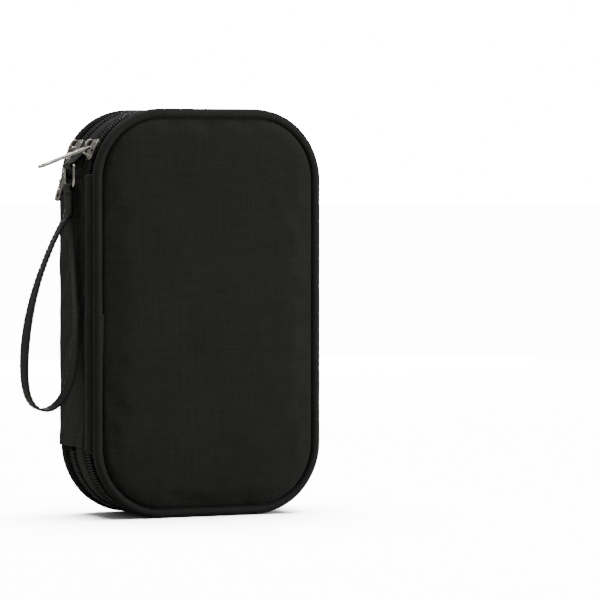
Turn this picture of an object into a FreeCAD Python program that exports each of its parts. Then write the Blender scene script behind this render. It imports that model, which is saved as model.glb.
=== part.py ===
import FreeCAD, Part
import os
from math import cos, radians, sin, sqrt, tan

from FreeCAD import Vector

# A double-layer cable organizer pouch, closed and standing on its lower end.
# A rigid middle leaf carries the spine. Two padded covers hinge on the spine, one on
# each side, and each closes against the leaf with its own zip. Millimetres.
# +X runs from the spine to the zip edge, -Y out of the front cover, +Z up.
# The origin is the middle of the case's footprint, on the ground.

# ---- Driving dimensions -------------------------------------------------------------
case_height = 190.0
case_width = 114.5
corner_radius = 33.5

# Sizes across the case, counted from its middle plane.
board_half = 0.8
lining_sheet = 0.6
band_half = 5.8
spine_half = 9.0
hinge_groove = 3.0
cover_wall = 6.2

# Sizes inwards from the outline.
band_recess = 1.2
band_sheet = 1.6
wall_sheet = 1.5
tape_sheet = 0.6
coil_height = 1.2
chain_slot = 1.3

piping_diameter = 4.5
piping_cord_diameter = 2.9
foam_thickness = 3.8
fabric_thickness = 1.2
panel_edge_round = 0.9

# Spine and side walls, measured from where the corners begin.
spine_shortfall = 0.5
wall_overrun = 3.0

# Pockets.
mesh_sheet = 0.6
pocket_depth = 5.0
pocket_inset = 6.0
cover_pocket_height = 125.0
hem_height = 8.0
elastic_width = 8.0
elastic_x = -12.0
leaf_pocket_count = 3
leaf_pocket_reach = 12.0
leaf_pocket_gap = 1.0
leaf_pocket_end = 12.0
binding_width = 3.0
binding_thickness = 1.2

# Sliders and pulls. Angles are in degrees up the spine-side top corner.
slider_half = 3.9
slider_flange = 0.6
slider_sheet = 1.0
slider_angle = 26.0
slider_span = 18.0
post_width = 0.7
post_span = 2.5
bridge_half = 0.9
bridge_height = 3.4
bridge_span = 12.0
bridge_window_span = 7.5
bridge_sheet = 0.8
pull_length = 26.5
pull_thickness = 1.2
pull_root_half = 2.7
pull_tip_half = 3.2
pull_window_half = 1.5
pull_window_length = 4.8
front_pull_angle = -20.7
back_pull_angle = -72.0
tape_end_angle = 40.0

# Ring and wrist strap.
ring_wire = 1.5
ring_height = 12.0
ring_standoff = 3.45
ring_rise = 7.0
ring_top_round = 1.2
ring_bottom_round = 4.0
tab_sheet = 1.0
tab_angle = 24.0
eye_sheet = 1.0
eye_room = 0.65
strap_thickness = 2.0
sewn_length = 11.5
loop_meet_rise = 3.5
loop_top_round = 1.2

# ---- Clearances ---------------------------------------------------------------------
slider_clearance = 0.3
sewn_gap = 0.05
coil_gap = 0.1
hinge_layer = 0.8
bar_clearance = 0.3
ring_pull_gap = 0.3
web_side_room = 0.5
lining_setback = 0.65

# ---- Derived sizes ------------------------------------------------------------------
lining_face = board_half + lining_sheet
chain_offset = band_half + slider_clearance + slider_half
coil_width = slider_half - slider_flange - slider_clearance - chain_slot / 2
wall_start = spine_half + hinge_groove
wall_end = wall_start + cover_wall
piping_radius = piping_diameter / 2
piping_offset = wall_end + sewn_gap + piping_radius
face_inner = piping_offset - piping_radius + lining_setback
foam_inner = face_inner + lining_sheet
fabric_inner = foam_inner + foam_thickness
face_outer = fabric_inner + fabric_thickness
panel_inset = piping_diameter + sewn_gap
coil_outer = band_recess
tape_outer = coil_outer + coil_height
tape_inner = tape_outer + tape_sheet
band_inner = band_recess + band_sheet
edge_x = case_width / 2
corner_x = -edge_x + corner_radius
corner_low = corner_radius
corner_high = case_height - corner_radius
ring_x = -edge_x - ring_standoff
ring_width = 2 * (chain_offset - pull_tip_half - ring_pull_gap)
web_width = ring_width - 2 * (ring_wire + web_side_room)
bar_z = corner_high + ring_rise
ring_low_z = bar_z - (ring_height - ring_wire)
FAR = 2 * (case_height + case_width)


# ---- Shapes used by several pieces --------------------------------------------------
def rounded_loop(corners, to_point):
    """Closed wire through corners (a, b, radius); radius None rounds by the shorter run."""
    points = [to_point(a, b) for a, b, _ in corners]
    arcs = []
    for i, here in enumerate(points):
        back = points[i - 1] - here
        ahead = points[(i + 1) % len(points)] - here
        shorter = min(back.Length, ahead.Length)
        back.normalize()
        ahead.normalize()
        half = back.getAngle(ahead) / 2
        radius = corners[i][2]
        if radius is None:
            radius = 0.45 * shorter * tan(half)
        reach = radius / tan(half)
        inward = (back + ahead).normalize() * (radius / sin(half) - radius)
        arcs.append((here + back * reach, here + inward, here + ahead * reach))
    edges = []
    for i, arc in enumerate(arcs):
        edges.append(Part.Arc(*arc).toShape())
        edges.append(Part.makeLine(arc[2], arcs[(i + 1) % len(arcs)][0]))
    return Part.Wire(edges)


def outline(inset, y):
    """The case's outline moved inwards by inset, in the plane at y."""
    side = edge_x - inset
    top = case_height - inset
    radius = corner_radius - inset
    corners = [(-side, inset, radius), (side, inset, radius), (side, top, radius), (-side, top, radius)]
    return rounded_loop(corners, lambda x, z: Vector(x, y, z))


def plate(inset, y0, y1):
    return Part.Face(outline(inset, y0)).extrude(Vector(0, y1 - y0, 0))


def frame_ring(outer, inner, y0, y1):
    return plate(outer, y0, y1).cut(plate(inner, y0, y1))


def block(x0, x1, y0, y1, z0, z1):
    return Part.makeBox(x1 - x0, y1 - y0, z1 - z0, Vector(x0, y0, z0))


def tube_ring(wire, radius, start, direction):
    """A round bar of that radius bent along a closed wire."""
    section = Part.Wire(Part.makeCircle(radius, start, direction))
    return Part.Wire(wire).makePipeShell([section], True, False)


def corner_point(inset, angle, y=0.0):
    """A point on the spine-side top corner, angle degrees up from where it begins."""
    radius = corner_radius - inset
    return Vector(
        corner_x - radius * cos(radians(angle)),
        y,
        corner_high + radius * sin(radians(angle)),
    )


def corner_wedge(start, end, y0, y1):
    centre = Vector(corner_x, y0, corner_high)
    rim = [corner_point(-FAR, a, y0) for a in (start, (start + end) / 2, end)]
    face = Part.Face(Part.makePolygon([centre, *rim, centre]))
    return face.extrude(Vector(0, y1 - y0, 0))


def corner_block(outer, inner, start, end, y0, y1):
    """A piece of the corner's arc between two insets, two angles and two y values."""
    base = Vector(corner_x, y0, corner_high)
    along = Vector(0, 1, 0)
    solid = Part.makeCylinder(corner_radius - outer, y1 - y0, base, along)
    solid = solid.cut(Part.makeCylinder(corner_radius - inner, y1 - y0, base, along))
    return solid.common(corner_wedge(start, end, y0, y1))


def on_side(shape, side):
    """Pieces are drawn behind the middle plane; side -1 mirrors one to the front."""
    if side > 0:
        return shape
    return shape.mirror(Vector(0, 0, 0), Vector(0, 1, 0))


def spine_gap(y0, y1):
    """The stretch beside the spine where the zips and their tapes are left out."""
    low = corner_low - wall_overrun
    high = corner_high + wall_overrun
    return block(-FAR, corner_x, y0, y1, low, high)


# ---- Middle leaf --------------------------------------------------------------------
def leaf_band():
    return frame_ring(band_recess, band_inner, -band_half, band_half)


def leaf_board():
    return plate(band_inner, -board_half, board_half)


def leaf_lining(side):
    return on_side(plate(band_inner, board_half, lining_face), side)


def spine_panel():
    low = corner_low - spine_shortfall
    high = corner_high + spine_shortfall
    return frame_ring(0, band_recess, -spine_half, spine_half).common(
        block(-FAR, corner_x, -spine_half, spine_half, low, high)
    )


def hinge_fabric(side):
    """The black fold between the spine panel and a cover's side wall."""
    y1 = wall_start + (wall_start - spine_half) / 2
    y0 = spine_half - (wall_start - spine_half) / 2
    x0 = -edge_x + wall_sheet
    return on_side(block(x0, x0 + hinge_layer, y0, y1, corner_low, corner_high), side)


def spine_lining(side):
    """The grey inner strip that covers the fold, from the leaf band to the cover."""
    x0 = -edge_x + wall_sheet + hinge_layer
    y1 = wall_start + (wall_end - wall_start) / 2
    return on_side(block(x0, x0 + lining_sheet, band_half, y1, corner_low, corner_high), side)


def leaf_tape(side):
    end = chain_offset - chain_slot / 2
    tape = frame_ring(tape_outer, tape_inner, band_half, end)
    return on_side(tape.cut(spine_gap(0, face_outer)), side)


def coil_ring(y0, y1):
    """A coil's C, which starts just past the slider's post and ends at the spine's foot."""
    start = slider_angle - slider_span / 2 + post_span + 2
    coil = frame_ring(coil_outer, tape_outer - coil_gap, y0, y1)
    coil = coil.cut(spine_gap(0, face_outer))
    return coil.cut(corner_wedge(-5, start, 0, face_outer))


def leaf_coil(side):
    end = chain_offset - chain_slot / 2
    return on_side(coil_ring(end - coil_width, end), side)


def leaf_pocket_span(index):
    room = case_height - 2 * leaf_pocket_end - (leaf_pocket_count - 1) * leaf_pocket_gap
    height = room / leaf_pocket_count
    low = leaf_pocket_end + index * (height + leaf_pocket_gap)
    return low, low + height


def leaf_pocket(index):
    """A slack mesh pocket on the leaf's front, open towards the zip edge."""
    low, high = leaf_pocket_span(index)
    top = lining_face + pocket_depth + mesh_sheet
    outer = plate(pocket_inset, lining_face, top).common(
        block(-FAR, leaf_pocket_reach, 0, top, low, high)
    )
    inner = plate(pocket_inset + mesh_sheet, lining_face, top - mesh_sheet).common(
        block(-FAR, leaf_pocket_reach, 0, top, low + mesh_sheet, high - mesh_sheet)
    )
    return on_side(outer.cut(inner), -1)


def pocket_binding(index):
    low, high = leaf_pocket_span(index)
    middle = lining_face + pocket_depth + mesh_sheet / 2
    x0 = leaf_pocket_reach
    strip = block(
        x0,
        x0 + binding_width,
        middle - binding_thickness / 2,
        middle + binding_thickness / 2,
        low,
        high,
    )
    return on_side(strip, -1)


def ring_tab():
    """Webbing that leaves the leaf band at the corner and wraps the ring's straight bar."""
    half = web_width / 2
    hole = ring_wire / 2 + bar_clearance
    rim = hole + tab_sheet
    bar = Vector(ring_x, -half, bar_z)
    along = Vector(0, 1, 0)
    foot = corner_point(band_recess, tab_angle, -half)
    across = (foot - bar).cross(along).normalize() * tab_sheet
    deep = foot + (foot - bar).normalize() * tab_sheet
    neck = Part.makePolygon([bar + across, deep + across, deep - across, bar - across, bar + across])
    tab = Part.Face(neck).extrude(Vector(0, web_width, 0))
    tab = tab.fuse(Part.makeCylinder(rim, web_width, bar, along))
    tab = tab.cut(Part.makeCylinder(hole, web_width, bar, along))
    return tab.cut(plate(band_recess, -half, half)).removeSplitter()


# ---- Covers -------------------------------------------------------------------------
def cover_fabric(side):
    panel = plate(panel_inset, fabric_inner, face_outer)
    rim = [e for e in panel.Edges if abs(e.BoundBox.YMin - face_outer) < 1e-6]
    return on_side(panel.makeFillet(panel_edge_round, rim), side)


def cover_foam(side):
    return on_side(plate(panel_inset, foam_inner, fabric_inner), side)


def cover_lining(side):
    return on_side(plate(panel_inset, face_inner, foam_inner), side)


def round_ring(diameter):
    wire = outline(piping_radius, piping_offset)
    start = Vector(edge_x - piping_radius, piping_offset, case_height / 2)
    return tube_ring(wire, diameter / 2, start, Vector(0, 0, 1))


def piping(side):
    bore = round_ring(piping_cord_diameter + 2 * sewn_gap)
    return on_side(round_ring(piping_diameter).cut(bore), side)


def piping_cord(side):
    return on_side(round_ring(piping_cord_diameter), side)


def side_wall(side):
    """The cover's fabric wall beside the spine."""
    low = corner_low - wall_overrun
    high = corner_high + wall_overrun
    wall = frame_ring(0, wall_sheet, wall_start, wall_end)
    wall = wall.common(block(-FAR, corner_x, 0, face_outer, low, high))
    return on_side(wall, side)


def slider_stretch():
    """The corner stretch where the tape bends when the cover opens past the slider."""
    return corner_wedge(-5, tape_end_angle, 0, face_outer)


def cover_tape_ring():
    start = chain_offset + chain_slot / 2
    tape = frame_ring(tape_outer, tape_inner, start, wall_end)
    return tape.cut(spine_gap(0, face_outer))


def cover_tape(side):
    return on_side(cover_tape_ring().cut(slider_stretch()), side)


def tape_end(side):
    return on_side(cover_tape_ring().common(slider_stretch()), side)


def cover_coil_ring():
    start = chain_offset + chain_slot / 2
    return coil_ring(start, start + coil_width)


def cover_coil(side):
    return on_side(cover_coil_ring().cut(slider_stretch()), side)


def coil_end(side):
    return on_side(cover_coil_ring().common(slider_stretch()), side)


def cover_pocket(side):
    """A slack pocket on the cover's lining, open towards the top."""
    face = face_inner - pocket_depth - mesh_sheet
    outer = plate(pocket_inset, face, face_inner)
    outer = outer.cut(block(-FAR, FAR, 0, FAR, cover_pocket_height, FAR))
    inner = plate(pocket_inset + mesh_sheet, face + mesh_sheet, face_inner)
    return on_side(outer.cut(inner), side)


def pocket_hem(side):
    """The elastic hem along the cover pocket's mouth."""
    middle = face_inner - pocket_depth - mesh_sheet / 2
    y0 = middle - binding_thickness / 2
    x1 = edge_x - pocket_inset
    z0 = cover_pocket_height
    return on_side(block(-x1, x1, y0, y0 + binding_thickness, z0, z0 + hem_height), side)


def elastic_strap(side):
    """The elastic that holds small items down on the front cover's pocket."""
    y1 = face_inner - pocket_depth - mesh_sheet
    x0 = elastic_x - elastic_width / 2
    z0 = 2 * pocket_inset
    strap = block(x0, x0 + elastic_width, y1 - binding_thickness / 2, y1, z0, cover_pocket_height)
    return on_side(strap, side)


# ---- Sliders and pulls --------------------------------------------------------------
def slider(side):
    """Two plates round the chain, joined by a thin post between its halves, with a bridge."""
    start = slider_angle - slider_span / 2
    end = slider_angle + slider_span / 2
    top_inner = coil_outer - slider_clearance
    top_outer = top_inner - slider_sheet
    low_outer = tape_inner + slider_clearance
    low_inner = low_outer + slider_sheet
    y0 = chain_offset - slider_half
    y1 = chain_offset + slider_half
    flange_end = tape_outer - slider_clearance
    post_y = chain_offset - post_width / 2
    body = corner_block(top_outer, top_inner, start, end, y0, y1)
    body = body.fuse(corner_block(low_outer, low_inner, start, end, y0, y1))
    body = body.fuse(corner_block(top_inner, flange_end, start, end, y0, y0 + slider_flange))
    body = body.fuse(corner_block(top_inner, flange_end, start, end, y1 - slider_flange, y1))
    body = body.fuse(
        corner_block(top_inner, low_outer, start + 1, start + 1 + post_span, post_y, post_y + post_width)
    )
    bridge_end = bridge_span / 2
    bridge = corner_block(
        top_outer - bridge_height,
        top_outer,
        slider_angle - bridge_end,
        slider_angle + bridge_end,
        chain_offset - bridge_half,
        chain_offset + bridge_half,
    )
    window_end = bridge_window_span / 2
    window = corner_block(
        top_outer - bridge_height + bridge_sheet,
        top_outer,
        slider_angle - window_end,
        slider_angle + window_end,
        chain_offset - bridge_half,
        chain_offset + bridge_half,
    )
    return on_side(body.fuse(bridge.cut(window)).removeSplitter(), side)


def pull(side, angle):
    """A zip pull hung on the slider's bridge, angle degrees above level, towards -X."""
    half = pull_thickness / 2
    straight = pull_length - pull_tip_half
    outline_edges = [
        Part.makeLine(Vector(0, -pull_root_half, -half), Vector(-straight, -pull_tip_half, -half)),
        Part.Arc(
            Vector(-straight, -pull_tip_half, -half),
            Vector(-pull_length, 0, -half),
            Vector(-straight, pull_tip_half, -half),
        ).toShape(),
        Part.makeLine(Vector(-straight, pull_tip_half, -half), Vector(0, pull_root_half, -half)),
        Part.makeLine(Vector(0, pull_root_half, -half), Vector(0, -pull_root_half, -half)),
    ]
    shape = Part.Face(Part.Wire(outline_edges)).extrude(Vector(0, 0, pull_thickness))
    window = pull_window_half
    shape = shape.cut(block(-pull_window_length, 0, -window, window, -half, half))
    bar_base = Vector(0, -pull_root_half, 0)
    shape = shape.fuse(Part.makeCylinder(half, 2 * pull_root_half, bar_base, Vector(0, 1, 0)))
    rim = pull_thickness
    recess = (-straight + rim, -pull_window_length - rim, rim - pull_root_half, pull_root_half - rim)
    depth = pull_thickness / 5
    shape = shape.cut(block(*recess, half - depth, half))
    shape = shape.cut(block(*recess, -half, depth - half))
    hole = pull_tip_half - 2 * half - 0.6
    shape = shape.cut(Part.makeCylinder(hole, pull_thickness, Vector(-straight, 0, -half)))
    shape.rotate(Vector(0, 0, 0), Vector(0, 1, 0), angle)
    shape.translate(pull_pivot(side))
    return shape


def pull_pivot(side):
    """The pull's bar, in the middle of the bridge's window."""
    window = bridge_height - bridge_sheet
    rise = -(coil_outer - slider_clearance - slider_sheet) + window / 2 + 0.2
    return corner_point(-rise, slider_angle, side * chain_offset)


# ---- Ring and wrist strap -----------------------------------------------------------
def d_ring():
    half = (ring_width - ring_wire) / 2
    corners = [
        (-half, ring_low_z, ring_bottom_round),
        (half, ring_low_z, ring_bottom_round),
        (half, bar_z, ring_top_round),
        (-half, bar_z, ring_top_round),
    ]
    wire = rounded_loop(corners, lambda y, z: Vector(ring_x, y, z))
    start = Vector(ring_x, 0, bar_z)
    return tube_ring(wire, ring_wire / 2, start, Vector(0, 1, 0))


# The loop's middle line, as steps (x, z) from where its two sides would meet.
STRAP_POINTS = [
    (-9.5, -17),
    (-16.5, -37),
    (-20.5, -57),
    (-21.5, -76),
    (-18.6, -88),
    (-12.5, -92.5),
    (-5, -87.5),
    (-0.2, -75),
    (1.1, -57),
    (1.2, -38),
    (0.8, -19),
]


def strap_wires():
    """The outer and the inner edge of the hanging loop, seen along Y."""
    half = strap_thickness / 2
    meet_z = ring_low_z - eye_inner() - eye_sheet - sewn_length + loop_meet_rise
    corners = [(ring_x, meet_z, loop_top_round)]
    corners += [(ring_x + x, meet_z + z, None) for x, z in STRAP_POINTS]
    middle = rounded_loop(corners, lambda x, z: Vector(x, -web_width / 2, z))
    return middle.makeOffset2D(half), middle.makeOffset2D(-half)


def strap_loop():
    outer, inner = strap_wires()
    width = Vector(0, web_width, 0)
    return Part.Face(outer).extrude(width).cut(Part.Face(inner).extrude(width))


def eye_inner():
    """Half the width of the slot that the ring's lower bar turns in."""
    return ring_wire / 2 + eye_room


def strap_end():
    """The sewn end: an eye round the ring's lower bar, and two layers below it."""
    half = web_width / 2
    room = eye_inner()
    straight = (ring_width - ring_wire) / 2 - ring_bottom_round
    rise = ring_bottom_round - sqrt(ring_bottom_round**2 - (half - straight) ** 2)
    rim = room + eye_sheet
    low = ring_low_z - room - eye_sheet
    top = ring_low_z + rise + room + eye_sheet
    eye = block(ring_x - rim, ring_x + rim, -half, half, low, top)
    corners = [e for e in eye.Edges if abs(e.Length - web_width) < 1e-6]
    eye = eye.makeFillet(rim * 0.98, corners)
    slot = block(
        ring_x - room, ring_x + room, -half, half, ring_low_z - room, ring_low_z + rise + room
    )
    slot = slot.makeFillet(room * 0.9, [e for e in slot.Edges if abs(e.Length - web_width) < 1e-6])
    layers = block(
        ring_x - strap_thickness,
        ring_x + strap_thickness,
        -half,
        half,
        low - sewn_length,
        low + eye_sheet,
    )
    outer, _ = strap_wires()
    loop = Part.Face(outer).extrude(Vector(0, web_width, 0))
    return eye.fuse(layers).cut(slot).cut(loop).removeSplitter()


# ---- Every node ---------------------------------------------------------------------
def nodes():
    made = {
        "leaf_band": leaf_band(),
        "leaf_board": leaf_board(),
        "leaf_lining_front": leaf_lining(-1),
        "leaf_lining_back": leaf_lining(1),
        "spine_panel": spine_panel(),
        "ring_tab": ring_tab(),
        "front_slider": slider(-1),
        "front_pull": pull(-1, front_pull_angle),
        "back_slider": slider(1),
        "back_pull": pull(1, back_pull_angle),
        "d_ring": d_ring(),
        "strap_end": strap_end(),
        "strap_loop": strap_loop(),
        "front_elastic_strap": elastic_strap(-1),
    }
    for index in range(leaf_pocket_count):
        made[f"leaf_pocket_{index + 1}"] = leaf_pocket(index)
        made[f"pocket_binding_{index + 1}"] = pocket_binding(index)
    both = {
        "leaf_tape": leaf_tape,
        "leaf_coil": leaf_coil,
        "hinge_fabric": hinge_fabric,
        "spine_lining": spine_lining,
        "cover_fabric": cover_fabric,
        "cover_foam": cover_foam,
        "cover_lining": cover_lining,
        "piping": piping,
        "piping_cord": piping_cord,
        "side_wall": side_wall,
        "cover_tape": cover_tape,
        "tape_end": tape_end,
        "cover_coil": cover_coil,
        "coil_end": coil_end,
        "cover_pocket": cover_pocket,
        "pocket_hem": pocket_hem,
    }
    for name, make in both.items():
        made[f"front_{name}"] = make(-1)
        made[f"back_{name}"] = make(1)
    return made


os.makedirs("parts", exist_ok=True)
for node, shape in nodes().items():
    if len(shape.Solids) != 1 or not shape.isValid():
        print("check", node, "solids:", len(shape.Solids), "valid:", shape.isValid())
    shape.Solids[0].exportStep(f"parts/{node}.step")
    print(f"{node}: {shape.Volume:.1f} mm3")
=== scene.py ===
# %% [markdown]
# # A cable organizer pouch, piece by piece
# The real object is a black woven pouch, opened by two zips that run round a thin middle leaf.
# The frame brings the plan of every part: where it is, how large it is and what it turns on.
# This script gives each part its true surface. The hard plan stays below it as the guide.

# %% Load the frame
import math

import bmesh
import bpy
import numpy as np
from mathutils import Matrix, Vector


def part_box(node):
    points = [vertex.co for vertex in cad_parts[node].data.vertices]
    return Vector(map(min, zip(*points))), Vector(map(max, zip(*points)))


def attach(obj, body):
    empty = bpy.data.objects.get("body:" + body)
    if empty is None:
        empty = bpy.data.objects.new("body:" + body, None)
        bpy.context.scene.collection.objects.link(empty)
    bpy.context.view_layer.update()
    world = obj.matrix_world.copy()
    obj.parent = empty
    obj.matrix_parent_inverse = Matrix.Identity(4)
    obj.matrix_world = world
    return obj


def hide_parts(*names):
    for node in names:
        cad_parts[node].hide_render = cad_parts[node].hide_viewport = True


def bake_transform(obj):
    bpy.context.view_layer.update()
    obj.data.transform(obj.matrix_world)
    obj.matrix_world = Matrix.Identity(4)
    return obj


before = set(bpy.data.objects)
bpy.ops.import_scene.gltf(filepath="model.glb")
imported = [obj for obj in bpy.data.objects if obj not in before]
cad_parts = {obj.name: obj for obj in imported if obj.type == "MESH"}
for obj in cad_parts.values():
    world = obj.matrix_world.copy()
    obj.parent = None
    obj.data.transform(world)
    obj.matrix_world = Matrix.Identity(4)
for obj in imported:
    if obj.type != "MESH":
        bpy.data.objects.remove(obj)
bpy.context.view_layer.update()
MM = 0.001

# %% [markdown]
# ## The camera
# A long lens from a little to the left keeps upright edges upright and shows the spine as well.
# A camera could be aimed by hand. Here its place is worked out from three angles and a distance,
# so that the numbers say plainly where the viewer stands.

# %% Place the camera
TURN = math.radians(-22.82)
LIFT = math.radians(1.88)
AWAY = 1.789
AIM_RIGHT, AIM_UP = 0.0515, 0.0053
LENS = 227.9
MIDDLE = Vector((0, 0, 0.095))
backward = Vector((math.sin(TURN) * math.cos(LIFT), -math.cos(TURN) * math.cos(LIFT), math.sin(LIFT)))
rightward = Vector((math.cos(TURN), math.sin(TURN), 0))
upward = backward.cross(rightward)
aim = MIDDLE + rightward * AIM_RIGHT + upward * AIM_UP
camera = bpy.data.objects.new("camera", bpy.data.cameras.new("camera"))
camera.data.lens = LENS
camera.data.sensor_width = 36
camera.location = MIDDLE + backward * AWAY
camera.rotation_euler = (aim - camera.location).to_track_quat("-Z", "Y").to_euler()
bpy.context.collection.objects.link(camera)
bpy.context.scene.camera = camera
print("camera at", [round(v, 3) for v in camera.location])

# %% [markdown]
# ## Sums that build nodes
# A weave is a sum of waves, and a sum is easier to read as a Python expression than as boxes.
# A small class wraps one output of a node, so that `a * 2 + b` adds its Math nodes by itself.

# %% Wrap a node's output
class Wire:
    """One output of a node. Sums on it add Math nodes."""

    def __init__(self, finish, socket):
        self.finish = finish
        self.socket = socket

    def maths(self, operation, *values):
        return self.finish.node("ShaderNodeMath", {"operation": operation}, dict(enumerate(values)))

    def __add__(self, other):
        return self.maths("ADD", self, other)

    def __sub__(self, other):
        return self.maths("SUBTRACT", self, other)

    def __rsub__(self, other):
        return self.maths("SUBTRACT", other, self)

    def __mul__(self, other):
        return self.maths("MULTIPLY", self, other)

    __radd__ = __add__
    __rmul__ = __mul__

    def sine(self):
        return self.maths("SINE", self)

    def cosine(self):
        return self.maths("COSINE", self)

    def size(self):
        return self.maths("ABSOLUTE", self)

    def above(self, other):
        return self.maths("GREATER_THAN", self, other)


class Finish:
    """A material under construction, with one Principled shader."""

    def __init__(self, name, **constants):
        self.material = bpy.data.materials.new(name)
        self.material.use_nodes = True
        self.tree = self.material.node_tree
        self.shader = self.tree.nodes["Principled BSDF"]
        for socket, value in constants.items():
            self.shader.inputs[socket.replace("_", " ")].default_value = value

    def node(self, kind, settings=None, sockets=None, output=0):
        made = self.tree.nodes.new(kind)
        for key, value in (settings or {}).items():
            setattr(made, key, value)
        for key, value in (sockets or {}).items():
            if isinstance(value, Wire):
                self.tree.links.new(value.socket, made.inputs[key])
            else:
                made.inputs[key].default_value = value
        return Wire(self, made.outputs[output])

    def feed(self, **values):
        for socket, value in values.items():
            self.tree.links.new(value.socket, self.shader.inputs[socket.replace("_", " ")])
        return self.material

    def cut(self):
        """The fabric's own two directions, in millimetres of cloth."""
        flat = self.node("ShaderNodeUVMap", {"uv_map": "cut"})
        split = self.node("ShaderNodeSeparateXYZ", None, {0: flat})
        across = Wire(self, split.socket.node.outputs[1])
        return split, across, flat

    def mottle(self, vector, scale, detail=3.0, roughness=0.55):
        return self.node("ShaderNodeTexNoise", {"noise_dimensions": "3D"},
                         {"Vector": vector, "Scale": scale, "Detail": detail, "Roughness": roughness})

    def stretch(self, vector, sizes):
        return self.node("ShaderNodeVectorMath", {"operation": "MULTIPLY"}, {0: vector, 1: sizes})

    def tint(self, amount, dark, light):
        colours = {0: amount, 6: (*dark, 1), 7: (*light, 1)}
        return self.node("ShaderNodeMix", {"data_type": "RGBA"}, colours, 2)

    def bump(self, height, depth, strength=1.0):
        relief = {"Height": height, "Distance": depth, "Strength": strength}
        return self.node("ShaderNodeBump", None, relief)


# %% [markdown]
# ## The black woven fabric
# The case is a plain weave of thick black yarn. Up close each yarn goes over and under the next,
# and from a step away only soft streaks are left, where the yarn is a little thicker.
# A picture of cloth could be wrapped on. Two sine waves make the weave instead, at its real
# pitch in millimetres, so it stays sharp at any distance and follows the cut of each piece.

# %% Weave the black fabrics
def woven(name, dark, light, pitch, depth, rough, streak=(0.05, 0.6, 1.0), turn=0.0, **constants):
    cloth = Finish(name, **constants)
    long, wide, flat = cloth.cut()
    if turn:
        c, s = math.cos(turn), math.sin(turn)
        long, wide = long * c + wide * s, wide * c - long * s
    yarn = math.pi / pitch
    warp, weft = (long * yarn).sine(), (wide * yarn).sine()
    over = warp * weft * 0.5 + 0.5
    raised_warp = warp.size() * (0.35 + over * 0.65)
    weave = raised_warp.maths("MAXIMUM", raised_warp, weft.size() * (1 - over * 0.65))
    slub = cloth.mottle(cloth.stretch(flat, streak), 1.0, 4.0, 0.62)
    slub_across = cloth.mottle(cloth.stretch(flat, (streak[1], streak[0], 1.0)), 1.0, 4.0, 0.62)
    cloudy = cloth.mottle(cloth.stretch(flat, (0.03, 0.03, 1.0)), 1.0, 2.0)
    grain = cloth.mottle(cloth.stretch(flat, (0.7, 1.5, 1.0)), 1.0, 2.0, 0.7)
    streaks = slub + slub_across * 0.7
    shade = streaks + grain * 1.1 + cloudy * 0.5 - 1.3 + weave * 0.25
    shade.socket.node.use_clamp = True
    colour = cloth.tint(shade, dark, light)
    height = weave + slub * 0.5 + slub_across * 0.4
    return cloth.feed(Base_Color=colour, Roughness=slub * 0.12 + (rough - 0.06),
                      Normal=cloth.bump(height, depth * MM, 0.7))


oxford = woven("black_oxford", (0.0024, 0.0024, 0.0019), (0.0175, 0.0175, 0.0160),
               pitch=0.42, depth=0.06, rough=0.76,
               Specular_IOR_Level=0.22, Sheen_Weight=0.05, Sheen_Roughness=0.6)
piping_cloth = woven("black_piping_cloth", (0.0036, 0.0036, 0.0031), (0.0190, 0.0190, 0.0175),
                     pitch=0.42, depth=0.06, rough=0.70, turn=math.pi / 4,
                     Specular_IOR_Level=0.26, Sheen_Weight=0.06, Sheen_Roughness=0.5)
webbing = woven("black_webbing", (0.0035, 0.0035, 0.0031), (0.0210, 0.0210, 0.0195),
                pitch=0.7, depth=0.12, rough=0.64,
                Specular_IOR_Level=0.26, Sheen_Weight=0.05, Sheen_Roughness=0.5)
tape = woven("black_zip_tape", (0.0030, 0.0030, 0.0027), (0.0160, 0.0160, 0.0150),
             pitch=0.4, depth=0.07, rough=0.7,
             Specular_IOR_Level=0.22, Sheen_Weight=0.04, Sheen_Roughness=0.5)
print("black fabrics:", oxford.name, piping_cloth.name, webbing.name, tape.name)

# %% [markdown]
# ## The grey fabrics inside
# The lining is thin, smooth and light grey, so it shines a little more and its weave is finer.
# The pockets are knitted net. Net could be modelled thread by thread, but thousands of holes
# would make a heavy mesh, so three crossed waves cut the holes through a thin sheet instead.

# %% Make the lining, net, elastic and threads
lining = woven("grey_lining", (0.30, 0.30, 0.295), (0.52, 0.52, 0.51),
               pitch=0.34, depth=0.05, rough=0.55,
               Specular_IOR_Level=0.4, Sheen_Weight=0.1, Sheen_Roughness=0.4)
binding = woven("grey_binding", (0.27, 0.27, 0.265), (0.50, 0.50, 0.49),
                pitch=0.45, depth=0.07, rough=0.6,
                Specular_IOR_Level=0.35, Sheen_Weight=0.1, Sheen_Roughness=0.4)


def elastic_finish():
    cloth = Finish("grey_elastic", Specular_IOR_Level=0.3)
    long, wide, flat = cloth.cut()
    rib = (wide * (2 * math.pi / 0.9)).sine()
    pick = (long * (2 * math.pi / 0.55)).sine()
    height = rib * 0.5 + pick * 0.25
    shade = height * 0.3 + cloth.mottle(flat, 0.5) * 0.5 + 0.2
    colour = cloth.tint(shade, (0.30, 0.30, 0.30), (0.54, 0.54, 0.53))
    return cloth.feed(Base_Color=colour, Normal=cloth.bump(height, 0.12 * MM),
                      Roughness=cloth.mottle(flat, 1.0) * 0.1 + 0.62)


HOLE_PITCH = 1.15


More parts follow.
